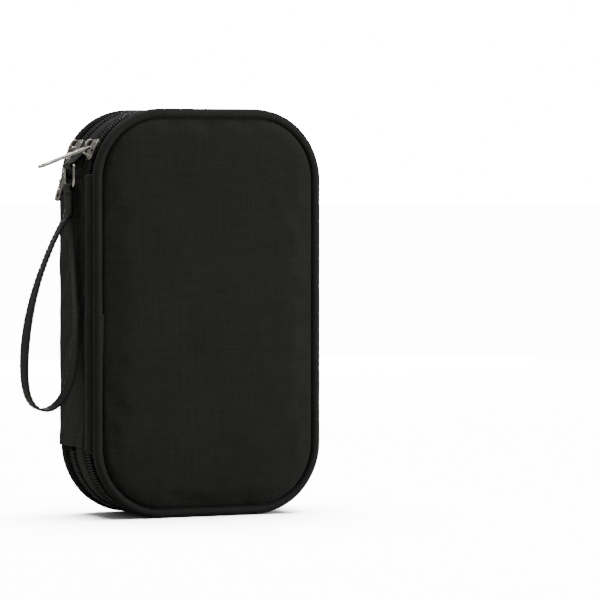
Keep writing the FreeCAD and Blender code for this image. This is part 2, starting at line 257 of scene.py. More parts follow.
def net_finish():
    cloth = Finish("grey_net", Specular_IOR_Level=0.3)
    long, wide, flat = cloth.cut()
    turn = 2 * math.pi / HOLE_PITCH
    rise = math.sin(math.pi / 3)
    slant = long * 0.5 + wide * rise
    other = long * -0.5 + wide * rise
    lattice = (long * turn).cosine() + (slant * turn).cosine() + (other * turn).cosine()
    thread = 1 - lattice.above(0.55)
    shade = cloth.mottle(flat, 0.4) * 0.8 + 0.1
    colour = cloth.tint(shade, (0.34, 0.34, 0.34), (0.56, 0.56, 0.55))
    return cloth.feed(Base_Color=colour, Alpha=thread, Normal=cloth.bump(1 - lattice, 0.15 * MM),
                      Roughness=cloth.mottle(flat, 1.0) * 0.1 + 0.6)


def thread_finish(name, dark, light):
    twist = Finish(name, Specular_IOR_Level=0.35)
    long, wide, flat = twist.cut()
    ply = (long * 9.0 + wide * 5.0).sine()
    colour = twist.tint(ply * 0.35 + 0.5, dark, light)
    return twist.feed(Base_Color=colour, Roughness=ply * 0.06 + 0.5,
                      Normal=twist.bump(ply, 0.03 * MM))


elastic = elastic_finish()
net = net_finish()
black_thread = thread_finish("black_thread", (0.010, 0.010, 0.010), (0.040, 0.040, 0.039))
grey_thread = thread_finish("grey_thread", (0.36, 0.36, 0.36), (0.62, 0.62, 0.61))
print("grey fabrics:", lining.name, binding.name, elastic.name, net.name)

# %% [markdown]
# ## Nylon coil and nickel
# The coil is black nylon line, so it is smooth and has small bright glints.
# The sliders, pulls and ring are nickel over zinc: a warm grey metal, polished, with a faint
# haze of handling marks. The haze goes into roughness, because a mirror finish looks like glass.

# %% Make the coil, the metal and the hidden board
def coil_finish():
    nylon = Finish("black_nylon_coil", Specular_IOR_Level=0.5)
    _, _, flat = nylon.cut()
    grain = nylon.mottle(flat, 2.0)
    colour = nylon.tint(grain, (0.010, 0.010, 0.0095), (0.030, 0.030, 0.029))
    return nylon.feed(Base_Color=colour, Roughness=grain * 0.2 + 0.28,
                      Normal=nylon.bump(grain, 0.02 * MM))


def metal_finish():
    nickel = Finish("nickel", Metallic=1.0)
    where = nickel.node("ShaderNodeTexCoord", output=3)
    haze = nickel.mottle(where, 900.0, 4.0)
    rub = nickel.mottle(nickel.stretch(where, (300.0, 300.0, 4000.0)), 1.0, 3.0)
    colour = nickel.tint(haze, (0.40, 0.38, 0.345), (0.70, 0.67, 0.61))
    return nickel.feed(Base_Color=colour, Roughness=haze * 0.10 + rub * 0.08 + 0.06,
                       Normal=nickel.bump(rub * 0.4 + haze, 0.012 * MM))


def stuffing_finish(name, dark, light, scale):
    inner = Finish(name, Specular_IOR_Level=0.2)
    where = inner.node("ShaderNodeTexCoord", output=3)
    grain = inner.mottle(where, scale, 4.0)
    return inner.feed(Base_Color=inner.tint(grain, dark, light), Roughness=grain * 0.2 + 0.7,
                      Normal=inner.bump(grain, 0.1 * MM))


coil_nylon = coil_finish()
metal = metal_finish()
board = stuffing_finish("grey_board", (0.20, 0.19, 0.18), (0.32, 0.31, 0.29), 400.0)
print("hard finishes:", coil_nylon.name, metal.name, board.name)

# %% [markdown]
# ## One outline for everything
# Every layer of this pouch follows the same outline, a tall shape with round corners, only
# further in or further out. Each layer could be drawn by itself, but then seams would miss
# each other. So one function gives a point for a distance round the outline, a distance in
# from the edge and a depth, and nearly every piece is made with it.

# %% The outline, and points on it
piping_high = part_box("front_piping")[1] / MM
HALF_WIDTH = piping_high.x
HEIGHT = piping_high.z
CORNER = 33.5
FLAT_X = HALF_WIDTH - CORNER
FLAT_Z = HEIGHT / 2 - CORNER
ARC = CORNER * math.pi / 2
MARKS = np.cumsum([0, FLAT_Z, ARC, 2 * FLAT_X, ARC, 2 * FLAT_Z, ARC, 2 * FLAT_X, ARC, FLAT_Z])
ROUND = MARKS[-1]
TURNS = [180, 180, 90, 90, 0, 0, -90, -90, -180, -180]
CENTRE_X = FLAT_X * np.array([-1, -1, -1, 1, 1, 1, 1, -1, -1, -1])
CENTRE_Z = HEIGHT / 2 + FLAT_Z * np.array([0, 1, 1, 1, 1, -1, -1, -1, -1, 0])


def facing(s):
    """The way out of the case at a distance s round it."""
    angle = np.radians(np.interp(np.mod(s, ROUND), MARKS, TURNS))
    return np.stack([np.cos(angle), np.zeros_like(angle), np.sin(angle)], -1)


def place(s, inset, y):
    """Points in mm: s round the outline from the middle of the spine, up first."""
    s, inset, y = np.broadcast_arrays(*(np.asarray(v, float) for v in (s, inset, y)))
    centre_x = np.interp(np.mod(s, ROUND), MARKS, CENTRE_X)
    centre_z = np.interp(np.mod(s, ROUND), MARKS, CENTRE_Z)
    point = facing(s) * (CORNER - inset)[..., None]
    point[..., 0] += centre_x
    point[..., 1] += y
    point[..., 2] += centre_z
    return point


def inset_of(x, z):
    """How far in from the case's edge a point of the face is."""
    beside = np.abs(x) - FLAT_X
    above = np.abs(z - HEIGHT / 2) - FLAT_Z
    corner = np.hypot(np.maximum(beside, 0), np.maximum(above, 0))
    return CORNER - corner - np.minimum(np.maximum(beside, above), 0)


def at_corner(degrees):
    """The distance round the outline of an angle on the corner above the spine."""
    return FLAT_Z + CORNER * math.radians(degrees)


def wavy(s, size, wave, seed):
    """A calm, uneven wave, which is the same each time for the same seed."""
    rng = np.random.default_rng(seed)
    total = np.zeros_like(np.asarray(s, float))
    for share in (1.0, 0.61, 0.37):
        turns = max(1, round(ROUND / (wave * share)))
        total = total + share * np.sin(2 * math.pi * turns * s / ROUND + rng.uniform(0, 6.28))
    return size * total / 1.6


print("round the outline:", round(float(ROUND), 1), "mm; half width", round(HALF_WIDTH, 2))

# %% [markdown]
# ## Skins and slabs
# A sewn strip is a rectangle of cloth that has been bent, so its points form a grid. One helper
# turns a grid into a mesh and keeps the cloth's own measures, which the weaves above read.
# A second joins two grids into a thin closed slab, because real cloth has two sides.

# %% Grids into meshes
def make_mesh(name, points, faces, flat):
    mesh = bpy.data.meshes.new(name)
    mesh.from_pydata([tuple(p) for p in np.asarray(points, float) * MM], [], [tuple(f) for f in faces])
    layer = mesh.uv_layers.new(name="cut")
    corners = np.zeros(len(mesh.loops), int)
    mesh.loops.foreach_get("vertex_index", corners)
    layer.data.foreach_set("uv", np.asarray(flat, np.float32).reshape(-1, 2)[: len(corners)].ravel())
    mesh.polygons.foreach_set("use_smooth", [True] * len(mesh.polygons))
    mesh.update()
    piece = bpy.data.objects.new(name, mesh)
    bpy.context.collection.objects.link(piece)
    return piece


def outward(piece):
    """Turns every face of a closed mesh to the outside."""
    work = bmesh.new()
    work.from_mesh(piece.data)
    bmesh.ops.recalc_face_normals(work, faces=work.faces)
    work.to_mesh(piece.data)
    work.free()
    return piece


def steps(grid, axis):
    gaps = np.linalg.norm(np.diff(grid, axis=axis), axis=-1).mean(axis=1 - axis)
    return np.concatenate([[0], np.cumsum(gaps)])


def skin(name, grid, round_long=False, round_wide=False, ends=False):
    """A mesh from a grid of points in mm, [along, across]."""
    grid = np.asarray(grid, float)
    number = np.arange(grid.shape[0] * grid.shape[1]).reshape(grid.shape[:2])
    shown, index = grid, number
    if round_long:
        shown, index = np.concatenate([shown, shown[:1]]), np.concatenate([index, index[:1]])
    if round_wide:
        shown = np.concatenate([shown, shown[:, :1]], 1)
        index = np.concatenate([index, index[:, :1]], 1)
    flat = np.stack(np.meshgrid(steps(shown, 0), steps(shown, 1), indexing="ij"), -1)
    faces = np.stack([index[:-1, :-1], index[1:, :-1], index[1:, 1:], index[:-1, 1:]], -1).reshape(-1, 4)
    cuts = np.stack([flat[:-1, :-1], flat[1:, :-1], flat[1:, 1:], flat[:-1, 1:]], 2).reshape(-1, 2)
    faces = [tuple(f) for f in faces]
    if ends:
        for row, shape in ((number[0], flat[0]), (number[-1][::-1], flat[-1][::-1])):
            faces.append(tuple(row))
            cuts = np.concatenate([cuts, shape[: len(row)]])
    return outward(make_mesh(name, grid.reshape(-1, 3), faces, cuts))


def slab(name, outer, inner, flat=None):
    """A thin closed piece between two grids of the same shape."""
    outer, inner = np.asarray(outer, float), np.asarray(inner, float)
    rows, columns = outer.shape[:2]
    number = np.arange(rows * columns).reshape(rows, columns)
    under = number + rows * columns
    if flat is None:
        flat = np.stack(np.meshgrid(steps(outer, 0), steps(outer, 1), indexing="ij"), -1)
    flat = np.asarray(flat).reshape(-1, 2)
    quads = np.stack([number[:-1, :-1], number[1:, :-1], number[1:, 1:], number[:-1, 1:]], -1)
    quads = quads.reshape(-1, 4)
    rim = np.concatenate([number[0, :-1], number[:-1, -1], number[-1, :0:-1], number[:0:-1, 0]])
    after = np.roll(rim, -1)
    wall = np.stack([rim, after, after + rows * columns, rim + rows * columns], 1)
    faces = np.concatenate([quads, quads[:, ::-1] + rows * columns, wall])
    both = np.concatenate([flat, flat])
    return outward(make_mesh(name, np.concatenate([outer.reshape(-1, 3), inner.reshape(-1, 3)]),
                             faces, both[faces.ravel()]))


def face_grid(inset, across, tall, crowd=0.0):
    """A grid over the whole face, whose border follows the outline. crowd draws lines to the rim."""
    u = np.linspace(-1, 1, across)[:, None] + np.zeros((1, tall))
    v = np.linspace(-1, 1, tall)[None, :] + np.zeros((across, 1))
    u = u * (1 - crowd) + crowd * np.sin(u * math.pi / 2)
    v = v * (1 - crowd) + crowd * np.sin(v * math.pi / 2)
    reach = np.maximum(np.maximum(np.abs(u), np.abs(v)), 1e-9)
    edge_u, edge_v = u / reach, v / reach
    side, top = FLAT_Z + ARC / 2, FLAT_X + ARC / 2
    top_middle = FLAT_Z + ARC + FLAT_X
    upright = np.where(edge_u < 0, edge_v * side, ROUND / 2 - edge_v * side)
    level = np.where(edge_v > 0, top_middle + edge_u * top, ROUND - top_middle - edge_u * top)
    s = np.where(np.abs(edge_u) > np.abs(edge_v), upright, level)
    rim = place(s, inset, 0)
    plain_x = u * (HALF_WIDTH - inset)
    plain_z = HEIGHT / 2 + v * (HEIGHT / 2 - inset)
    share = reach ** 4
    x = plain_x * (1 - share) + rim[..., 0] * reach * share
    z = plain_z * (1 - share) + (HEIGHT / 2 + (rim[..., 2] - HEIGHT / 2) * reach) * share
    return x, z, s


def band(low, high, near, far, count=14, crown=0.0):
    """The closed cut of a flat strip, as [inset, y] points, with softly rounded edges."""
    q = -np.cos(np.linspace(0, math.pi, count))
    mid, half = (low + high) / 2, (high - low) / 2 * np.sqrt(1 - np.abs(q) ** 6)
    y = near + (far - near) * (q + 1) / 2
    lift = crown * (1 - q * q)
    outer = np.stack([mid - half - lift, y], 1)
    inner = np.stack([mid + half - lift * 0.7, y], 1)[-2:0:-1]
    return np.concatenate([outer, inner])


def sweep(name, s, cut, whole=False, ends=True):
    """Runs a closed cut round the outline. cut is [point, 2] or [step, point, 2]."""
    cut = np.asarray(cut, float)
    if cut.ndim == 2:
        cut = cut[None] + np.zeros((len(s), 1, 1))
    grid = place(np.asarray(s)[:, None], cut[..., 0], cut[..., 1])
    return skin(name, grid, round_long=whole, round_wide=True, ends=ends and not whole)


def fit(piece, finish, body, slot, *nodes):
    """Gives a piece its finish and its body, and hides the plan nodes it stands for."""
    piece.data.materials.clear()
    piece.data.materials.append(finish)
    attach(piece, body)
    if nodes:
        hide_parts(*nodes)
    return piece


SIDES = {"front": -1, "back": 1}
print("helpers are ready")

# %% [markdown]
# ## The two padded faces
# Each face is foam between woven cloth and lining, sewn down at its rim beside the piping, so it
# stands highest in the middle and dives into a groove at the edge. It could be a flat plate with
# a bevel, but the light would lie dead on it. The cloth is blown up against its sewn rim in a
# short simulation, and then a few soft puckers are pressed in where the seam draws it.

# %% Inflate cloth against its seam
def puff(piece, held, pressure, cap, shrink):
    """Blows the piece up a little and keeps the shape. No movement is larger than cap, in mm."""
    group = piece.vertex_groups.new(name="held")
    group.add([int(i) for i in held], 1.0, "REPLACE")
    before = np.array([v.co for v in piece.data.vertices])
    cloth = piece.modifiers.new("cloth", "CLOTH")
    cloth.settings.quality = 5
    cloth.settings.mass = 0.02
    cloth.settings.tension_stiffness = 25
    cloth.settings.compression_stiffness = 25
    cloth.settings.bending_stiffness = 0.3
    cloth.settings.use_pressure = True
    cloth.settings.uniform_pressure_force = pressure
    cloth.settings.shrink_min = shrink
    cloth.settings.vertex_group_mass = "held"
    cloth.settings.effector_weights.gravity = 0
    cloth.point_cache.frame_start = 1
    cloth.point_cache.frame_end = 20
    for moment in range(1, 21):
        bpy.context.scene.frame_set(moment)
    shown = piece.evaluated_get(bpy.context.evaluated_depsgraph_get()).to_mesh()
    after = np.array([v.co for v in shown.vertices])
    piece.modifiers.remove(cloth)
    piece.vertex_groups.remove(group)
    bpy.context.scene.frame_set(1)
    move = (after - before) / MM
    length = np.linalg.norm(move, axis=1, keepdims=True)
    move = move * np.minimum(1, cap / np.maximum(length, 1e-9))
    piece.data.vertices.foreach_set("co", (before + move * MM).astype(np.float32).ravel())
    piece.data.update()
    print(piece.name, "moved at most", round(float(length.max()), 2), "mm before the cap")
    return piece


def smoother(piece, levels=1):
    """Applies a subdivision, so that the mesh itself is smooth."""
    rounder = piece.modifiers.new("rounder", "SUBSURF")
    rounder.levels = levels
    rounder.render_levels = levels
    shown = piece.evaluated_get(bpy.context.evaluated_depsgraph_get())
    mesh = bpy.data.meshes.new_from_object(shown)
    piece.modifiers.remove(rounder)
    piece.data = mesh
    return piece


# %% Make the padded faces
RIM = 4.35


def padded_face(side):
    sign = SIDES[side]
    across, tall = 43, 69
    x, z, s = face_grid(RIM, across, tall, crowd=0.72)
    depth = inset_of(x, z) - RIM
    swell = 20.9 + 3.1 * (1 - np.exp(-depth / 1.7)) + 0.55 * (1 - np.exp(-depth / 14))
    outer = np.stack([x, sign * swell, z], -1)
    inner = np.stack([x, sign * (19.7 + 0 * x), z], -1)
    piece = slab(side + "_padded_face", outer, inner, np.stack([z, x], -1))
    number = np.arange(across * tall).reshape(across, tall)
    borders = (number[:2], number[-2:], number[:, :2], number[:, -2:])
    rim = np.concatenate([border.ravel() for border in borders])
    puff(piece, np.concatenate([rim, number.ravel() + across * tall]), 9.0, 0.9, -0.012)
    points = np.array([v.co for v in piece.data.vertices]) / MM
    shown = points[: across * tall].reshape(across, tall, 3)
    near_foot = np.clip(1 - z / (HEIGHT / 2), 0, 1) ** 2
    draw = np.exp(-depth / 8) * (1 - np.exp(-depth / 1.5)) * (0.35 + 0.9 * near_foot)
    puckers = draw * wavy(s, 0.34, 17, 5)
    ripples = 0.16 * wavy(x * 2.3 + z, 1, 120, 8) * np.tanh(depth / 12)
    shown[..., 1] += sign * (puckers + ripples)
    points[: across * tall] = shown.reshape(-1, 3)
    piece.data.vertices.foreach_set("co", (points * MM).astype(np.float32).ravel())
    smoother(piece)
    fit(piece, oxford, side + "_cover", "oxford", side + "_cover_fabric", side + "_cover_foam")
    return piece


for side in SIDES:
    padded_face(side)
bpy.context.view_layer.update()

# %% [markdown]
# ## The piping
# Piping is a bias-cut strip folded round a cord and caught in the seam, so each cover has a firm
# round edge. Its two ends meet on the spine side, where the upper end is folded over the lower
# one: a small cross seam, with the spare cloth running out below it.
# A plain round tube would do for the line, and the wrinkles and the lap are then added to it.

# %% Run the piping
PIPE_INSET, PIPE_Y, PIPE_RADIUS, LAP_LONG = 2.25, 20.5, 2.2, 27


def piping(side):
    sign = SIDES[side]
    finer_at_lap = np.arange(ROUND - 2, ROUND, 0.2)
    s = np.unique(np.round(np.concatenate([np.arange(0, ROUND, 0.85), finer_at_lap]), 3))
    turn = np.linspace(0, 2 * math.pi, 20, endpoint=False)
    inward, toward = np.cos(turn), np.sin(turn)
    below = ROUND - s
    lap = np.where(below < LAP_LONG, 1 - below / LAP_LONG, 0.0)[:, None] ** 0.8
    fold = np.exp(-((below - 0.7) / 0.5) ** 2) + np.exp(-((s - 0.3) / 0.4) ** 2) * 0.3
    straight = np.abs(np.interp(s, MARKS, TURNS) % 90) < 1e-6
    bend = np.where(straight, 0.35, 1.0)
    creases = wavy(s, 0.055, 3.4, 11)[:, None] * (0.6 + 0.4 * inward) * bend[:, None]
    radius = PIPE_RADIUS + creases + wavy(s, 0.05, 31, 12)[:, None] + 0.16 * fold[:, None]
    wide = radius * inward + 0.95 * lap * np.clip(inward, 0, 1) ** 1.5
    thick = radius * toward * (1 + 0.04 * lap)
    cut = np.stack([PIPE_INSET + wide, sign * (PIPE_Y + thick)], -1)
    piece = sweep(side + "_piping", s, cut, whole=True)
    return fit(piece, piping_cloth, side + "_cover", "oxford",
               side + "_piping", side + "_piping_cord")


for side in SIDES:
    piping(side)
print("piping diameter", 2 * PIPE_RADIUS, "mm, at", PIPE_Y, "mm from the middle")

# %% [markdown]
# ## Spine side: walls, panel and folds
# Along the spine the front cover has a soft rolled wall. One wide flat panel runs from the
# middle leaf to the back cover. A folded strip beside each zip lets a cover swing. The strip is
# made as a deep fold, because opening the cover draws it straight.

# %% Make the rolled wall
WALL_HALF, WALL_FROM, WALL_TO = 64.6, 9.95, 18.35


def side_wall(side):
    sign = SIDES[side]
    s = np.linspace(-WALL_HALF, WALL_HALF, 190)
    from_end = WALL_HALF - np.abs(s)
    hem = 0.35 * np.exp(-((from_end - 2.0) / 1.6) ** 2) - 0.25 * np.exp(-((from_end - 4.4) / 0.6) ** 2)
    tuck = np.clip(from_end, 0, 1)[:, None] ** 0.5
    lap = 0.30 * np.exp(-((s - 0.2) / 0.8) ** 2) + 0.38 * np.clip(-s / 1.2, 0, 1) * np.exp(s / 40)
    base = band(-0.15, 1.5, 0, 1, 16, 0)
    q = 2 * base[:, 1] - 1
    crown = (0.85 + hem + lap + wavy(s, 0.13, 23, 21))[:, None] * (1 - q * q)
    edge = WALL_FROM + wavy(s, 0.12, 37, 22)[:, None]
    y = edge + (WALL_TO - edge) * base[:, 1]
    outside = base[:, 0] < 0.67
    tucked = (base[:, 0] - crown) * tuck + (1 - tuck) * 0.5
    inset = np.where(outside, tucked, base[:, 0])
    piece = sweep(side + "_side_wall", s, np.stack([inset, sign * y], -1))
    fit(piece, oxford, side + "_cover", "oxford", side + "_side_wall")


def smooth_path(corners, count, whole=False):
    """A quadratic B-spline through a list of guide points: smooth, with no corners."""
    guide = np.asarray(corners, float)
    if whole:
        guide = np.concatenate([guide, guide[:2]])
    else:
        guide = np.concatenate([2 * guide[:1] - guide[1:2], guide, 2 * guide[-1:] - guide[-2:-1]])
    spans = len(guide) - 2
    t = np.linspace(0, spans, count, endpoint=not whole)
    i = np.minimum(t.astype(int), spans - 1)
    f = (t - i)[:, None]
    return 0.5 * ((1 - f) ** 2 * guide[i] + (1 + 2 * f - 2 * f * f) * guide[i + 1] + f * f * guide[i + 2])


def even(path, gap, whole=False):
    """The same path with points a fixed distance apart."""
    run = np.concatenate([path, path[:1]]) if whole else path
    length = np.concatenate([[0], np.cumsum(np.linalg.norm(np.diff(run, axis=0), axis=1))])
    count = max(3, int(round(length[-1] / gap)))
    at = np.linspace(0, length[-1], count + (not whole), endpoint=not whole)
    return np.stack([np.interp(at, length, run[:, k]) for k in range(run.shape[1])], 1)


def upright_fold(name, path, thick, low, high, rows=90, waver=0.0, seed=41):
    """A thin strip that stands along the spine. path is its cut, as [x, y] points."""
    path = even(smooth_path(path, 200), 0.45)
    along = np.gradient(path, axis=0)
    along /= np.linalg.norm(along, axis=1, keepdims=True)
    normal = np.stack([-along[:, 1], along[:, 0]], 1)
    z = np.linspace(low, high, rows)
    belly = np.sin(np.linspace(0, math.pi, len(path)))[None, :, None]
    sway = wavy(z, waver, 17, seed)[:, None, None] * belly
    layers = []
    for offset in (thick / 2, -thick / 2):
        flat = (path + normal * offset)[None] + sway * np.array([1.0, 0.25])
        layers.append(np.concatenate([flat, np.broadcast_to(z[:, None, None], flat.shape[:2] + (1,))], -1))
    return slab(name, *layers)


# %% Make the spine panel
SPINE_CUT = [(-56.3, -8.6), (-56.8, -8.9), (-57.2, -8.2), (-57.25, -6.5), (-57.3, 0), (-57.35, 9),
             (-57.4, 14), (-57.6, 18), (-57.8, 20.2), (-57.5, 22.0), (-56.7, 23.0), (-56.1, 22.9)]
SPINE_PATH = smooth_path(SPINE_CUT, 400)
SPINE_FLAT = SPINE_PATH[40:-60]
SPINE_FROM, SPINE_TO = 32.6, 157.2
SPINE_BEND = ((-0.0573, 0.0088, 0.095), (-0.0573, 0.0136, 0.095))


def spine_surface(y, z):
    """The outer face of the spine panel, as x in mm, at a depth and a height."""
    from_end = np.minimum(z - SPINE_FROM, SPINE_TO - z)
    hem = 0.34 / (1 + np.exp((from_end - 7.2) / 0.35)) - 0.12 * np.exp(-((from_end - 2.2) / 0.5) ** 2)
    hem = hem - 0.10 * np.exp(-((from_end - 6.0) / 0.5) ** 2)
    swell = 0.16 * wavy(z + 0 * y, 1, 44, 31) + 0.16 * wavy(z + 1.5 * y, 1, 33, 32)
    return np.interp(y, SPINE_FLAT[:, 1], SPINE_FLAT[:, 0]) - hem + swell


def spine_panel():
    path = even(SPINE_PATH, 0.6)
    z = np.linspace(SPINE_FROM, SPINE_TO, 170)
    plain = path[None, :, 0] + 0 * z[:, None]
    flat = np.interp(path[:, 1], SPINE_FLAT[:, 1], SPINE_FLAT[:, 0])
    shift = spine_surface(path[None, :, 1], z[:, None]) - flat
    edge = np.clip(np.minimum(path[:, 1] + 8.7, 23 - path[:, 1]) / 1.2, 0, 1)
    outer = np.stack(np.broadcast_arrays(plain + shift * edge, path[None, :, 1], z[:, None]), -1)
    along = np.gradient(path, axis=0)
    along /= np.linalg.norm(along, axis=1, keepdims=True)
    inner = outer.copy()
    inner[..., 0] += 0.5 * along[:, 1]
    inner[..., 1] -= 0.5 * along[:, 0]
    piece = slab("spine_panel", outer, inner)
    piece.data.materials.append(oxford)
    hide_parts("spine_panel", "back_side_wall")
    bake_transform(piece)


# %% Make the hinge folds
FOLDS = {"front": [(-56.5, -8.3), (-55.3, -8.7), (-54.0, -8.9), (-53.6, -9.4), (-54.0, -10.0),
                   (-55.3, -10.3), (-56.5, -10.8)],
         "back": [(-56.4, 8.2), (-55.2, 8.9), (-54.0, 9.6), (-53.7, 10.5), (-54.0, 11.4),
                  (-55.2, 12.0), (-56.4, 12.9)]}
FOLD_FROM, FOLD_TO = 30.4, 159.6
side_wall("front")
for side, sign in SIDES.items():
    name = side + "_hinge_fold"
    fold = upright_fold(name, FOLDS[side], 0.45, FOLD_FROM, FOLD_TO, rows=94, waver=0.12)
    fold.data.materials.append(oxford)
    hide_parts(side + "_hinge_fabric")
    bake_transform(fold)
spine_panel()
print("spine parts are made")

# %% [markdown]
# ## The zips
# A coil zip is one nylon line wound into a flat spiral and sewn to a tape. Two spirals half a
# turn apart hook into each other. The teeth could be bumps in a texture, but they catch the
# light one by one on the real pouch, so the spirals are wound here turn by turn as real line.

# %% Sew the tapes
ZIP_FROM, ZIP_TO = FLAT_Z + 2.4, ROUND - FLAT_Z - 2.4
TAPE_FROM, TAPE_TO = FLAT_Z + 0.2, ROUND - FLAT_Z - 0.2


def zip_tapes(side):
    sign = SIDES[side]
    s = np.arange(TAPE_FROM, TAPE_TO, 1.5)
    for name, near, far, low, high, body, nodes in (
            (side + "_leaf_tape", 5.2, 9.75, 2.35, 2.85, "middle_leaf", [side + "_leaf_tape"]),
            (side + "_cover_tape", 10.25, 18.6, 2.35, 2.85, side + "_cover",
             [side + "_cover_tape", side + "_tape_end"])):
        base = band(low, high, near, far, 14)
        q = (base[:, 1] - near) / (far - near)
        dip = 0.25 * np.sin(math.pi * q) * (1 if far > 12 else 0.3)
        wave = wavy(s, 0.07, 27, 51)[:, None] * np.sin(math.pi * q)
        cut = np.stack([base[:, 0] + dip + wave, sign * base[:, 1] + 0 * s[:, None]], -1)
        fit(sweep(name, s, cut), tape, body, "tape", *nodes)


# %% Wind the coils
PITCH = 1.4
LINE = 0.31


def coil(name, start, stop, tip, root, sign, phase, body, *nodes):
    """One spiral from start to stop, whose heads reach tip and whose backs reach root."""
    turns = int((stop - start) / PITCH)
    turn = np.arange(turns * 10 + 1) / 10
    angle = 2 * math.pi * turn
    s = start + PITCH * (turn + phase) + 0.10 * np.sin(2 * angle)
    middle, reach = (tip + root) / 2, (tip - root) / 2
    reach = reach - math.copysign(LINE, reach)
    inset = 1.62 + 0.62 * np.sin(angle)
    y = middle + reach * np.sign(np.cos(angle)) * np.abs(np.cos(angle)) ** 0.8
    line = place(s, inset, sign * y)
    way = np.gradient(line, axis=0)
    way /= np.linalg.norm(way, axis=1, keepdims=True)
    run = np.cross(facing(s), np.array([0.0, 1.0, 0.0]))
    first = np.cross(way, run)
    first /= np.linalg.norm(first, axis=1, keepdims=True)
    second = np.cross(way, first)
    around = 2 * math.pi * np.arange(5) / 5
    thick = LINE * (1 + 0.12 * np.cos(angle))[:, None, None]
    grid = line[:, None] + thick * (first[:, None] * np.cos(around)[None, :, None]
                                    + second[:, None] * np.sin(around)[None, :, None])
    piece = skin(name, grid, round_wide=True, ends=True)
    fit(piece, coil_nylon, body, "coil", *nodes)
    return turns


turns_wound = 0
for side, sign in SIDES.items():
    zip_tapes(side)
    turns_wound += coil(side + "_leaf_coil", ZIP_FROM, ZIP_TO, 10.22, 7.0, sign, 0.0, "middle_leaf",
                        side + "_leaf_coil")
    turns_wound += coil(side + "_cover_coil", ZIP_FROM, ZIP_TO, 9.78, 13.0, sign, 0.5, side + "_cover",
                        side + "_cover_coil", side + "_coil_end")
print("coil turns wound:", turns_wound)

# %% [markdown]
# ## The middle leaf's edge
# The leaf's board is wrapped in a band of the same black cloth, which shows as a flat ribbon
# between the two zips. The ribbon could be left flat, but stitched cloth swells a little between
# its seams, so it's given a low, uneven crown. The board itself is hidden and only gets a finish.

# %% Wrap the leaf's edge
LEAF_HALF = 5.8
s = np.arange(0, ROUND, 1.5)
base = band(1.15, 2.8, -LEAF_HALF, LEAF_HALF, 18)
q = base[:, 1] / LEAF_HALF
lift = (0.22 + wavy(s, 0.10, 29, 61))[:, None] * (1 - q * q)
cut = np.stack([base[:, 0] - lift * (base[:, 0] < 2), base[:, 1] + 0 * s[:, None]], -1)
fit(sweep("leaf_band", s, cut, whole=True), oxford, "middle_leaf", "oxford", "leaf_band")


def finish_plan_node(name, finish):
    """Gives a part that is shown as planned its finish."""
    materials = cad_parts[name].data.materials
    materials.clear()
    materials.append(finish)


finish_plan_node("leaf_board", board)
print("leaf edge is", round(2 * LEAF_HALF, 1), "mm wide")

# %% [markdown]
# ## Wrist strap, tab and ring
# The strap is flat webbing folded round the ring's low bar and sewn, and it then runs on as one
# long loop. Webbing keeps its width and only bends the easy way, so a flat cut is run along a
# smooth curve. The ring hangs in a short tab that is sewn to the leaf between the two zips.

# %% Bend flat webbing along a curve
RING_X = -60.7
WIRE_HALF = 0.75
ring_low, ring_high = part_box("d_ring")
TAB_Z = ring_high.z / MM - WIRE_HALF
BAR_Z = ring_low.z / MM + WIRE_HALF


def flat_band(path, width, thick, whole=False, turn=None):
    """Points of a flat strip along a path of [x, z] points: [along, around, (x, y, z)]."""
    path = np.asarray(path, float)
    ahead = np.roll(path, -1, 0) - np.roll(path, 1, 0) if whole else np.gradient(path, axis=0)
    ahead /= np.linalg.norm(ahead, axis=1, keepdims=True)
    normal = np.stack([-ahead[:, 1], ahead[:, 0]], 1)
    cut = band(-thick / 2, thick / 2, -width / 2, width / 2, 12)
    lean = np.zeros(len(path)) if turn is None else np.asarray(turn, float)
    offset = cut[None, :, 0] * np.cos(lean)[:, None] - cut[None, :, 1] * np.sin(lean)[:, None]
    y = cut[None, :, 0] * np.sin(lean)[:, None] + cut[None, :, 1] * np.cos(lean)[:, None]
    x = path[:, None, 0] - normal[:, None, 0] * offset
    z = path[:, None, 1] - normal[:, None, 1] * offset
    return np.stack([x, y, z], -1)


# %% Make the strap
strap_low, strap_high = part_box("strap_loop")
STRAP_WIDE = (strap_high.y - strap_low.y) / MM
MEET = 142.6
LOOP = [(0, 0), (-3.6, -5.6), (-10.0, -17), (-17.6, -37), (-22.0, -57), (-23.1, -77), (-20.4, -89),
        (-12.8, -93.6), (-5, -88), (-0.2, -75), (1.1, -57), (1.2, -38), (0.8, -19), (0.3, -6)]


def strap_loop():
    guide = np.array([(RING_X + x, MEET + z) for x, z in LOOP])
    path = even(smooth_path(guide, 900, whole=True), 1.0, whole=True)
    lean = 0.10 * np.sin(2 * math.pi * np.arange(len(path)) / len(path) * 2 + 0.6)
    inner = np.clip((path[:, 0] + 75) / 13, 0, 1)
    shift = -4.3 * inner * np.clip((MEET - 4 - path[:, 1]) / 42, 0, 1) ** 1.3
    grid = flat_band(path, STRAP_WIDE, 1.15, whole=True, turn=lean)
    grid[..., 1] += shift[:, None]
    piece = skin("strap_loop", grid, round_long=True, round_wide=True)
    fit(piece, webbing, "wrist_strap", "webbing", "strap_loop")
    return path, lean, shift


def strap_end():
    turn = np.radians(np.linspace(-78, 258, 40))
    eye = np.stack([RING_X + 1.75 * np.cos(turn), BAR_Z + 1.75 * np.sin(turn)], 1)
    rising = np.linspace(MEET - 3.2, BAR_Z - 2.6, 24)
    right = np.stack([RING_X + 0.95 + 0 * rising, rising], 1)
    left = np.stack([RING_X - 0.95 + 0 * rising, rising], 1)
    path = even(smooth_path(np.concatenate([right, eye, left[::-1]]), 500), 0.5)
    piece = skin("strap_end", flat_band(path, STRAP_WIDE, 1.0), round_wide=True, ends=True)
    return fit(piece, webbing, "wrist_strap", "webbing", "strap_end")


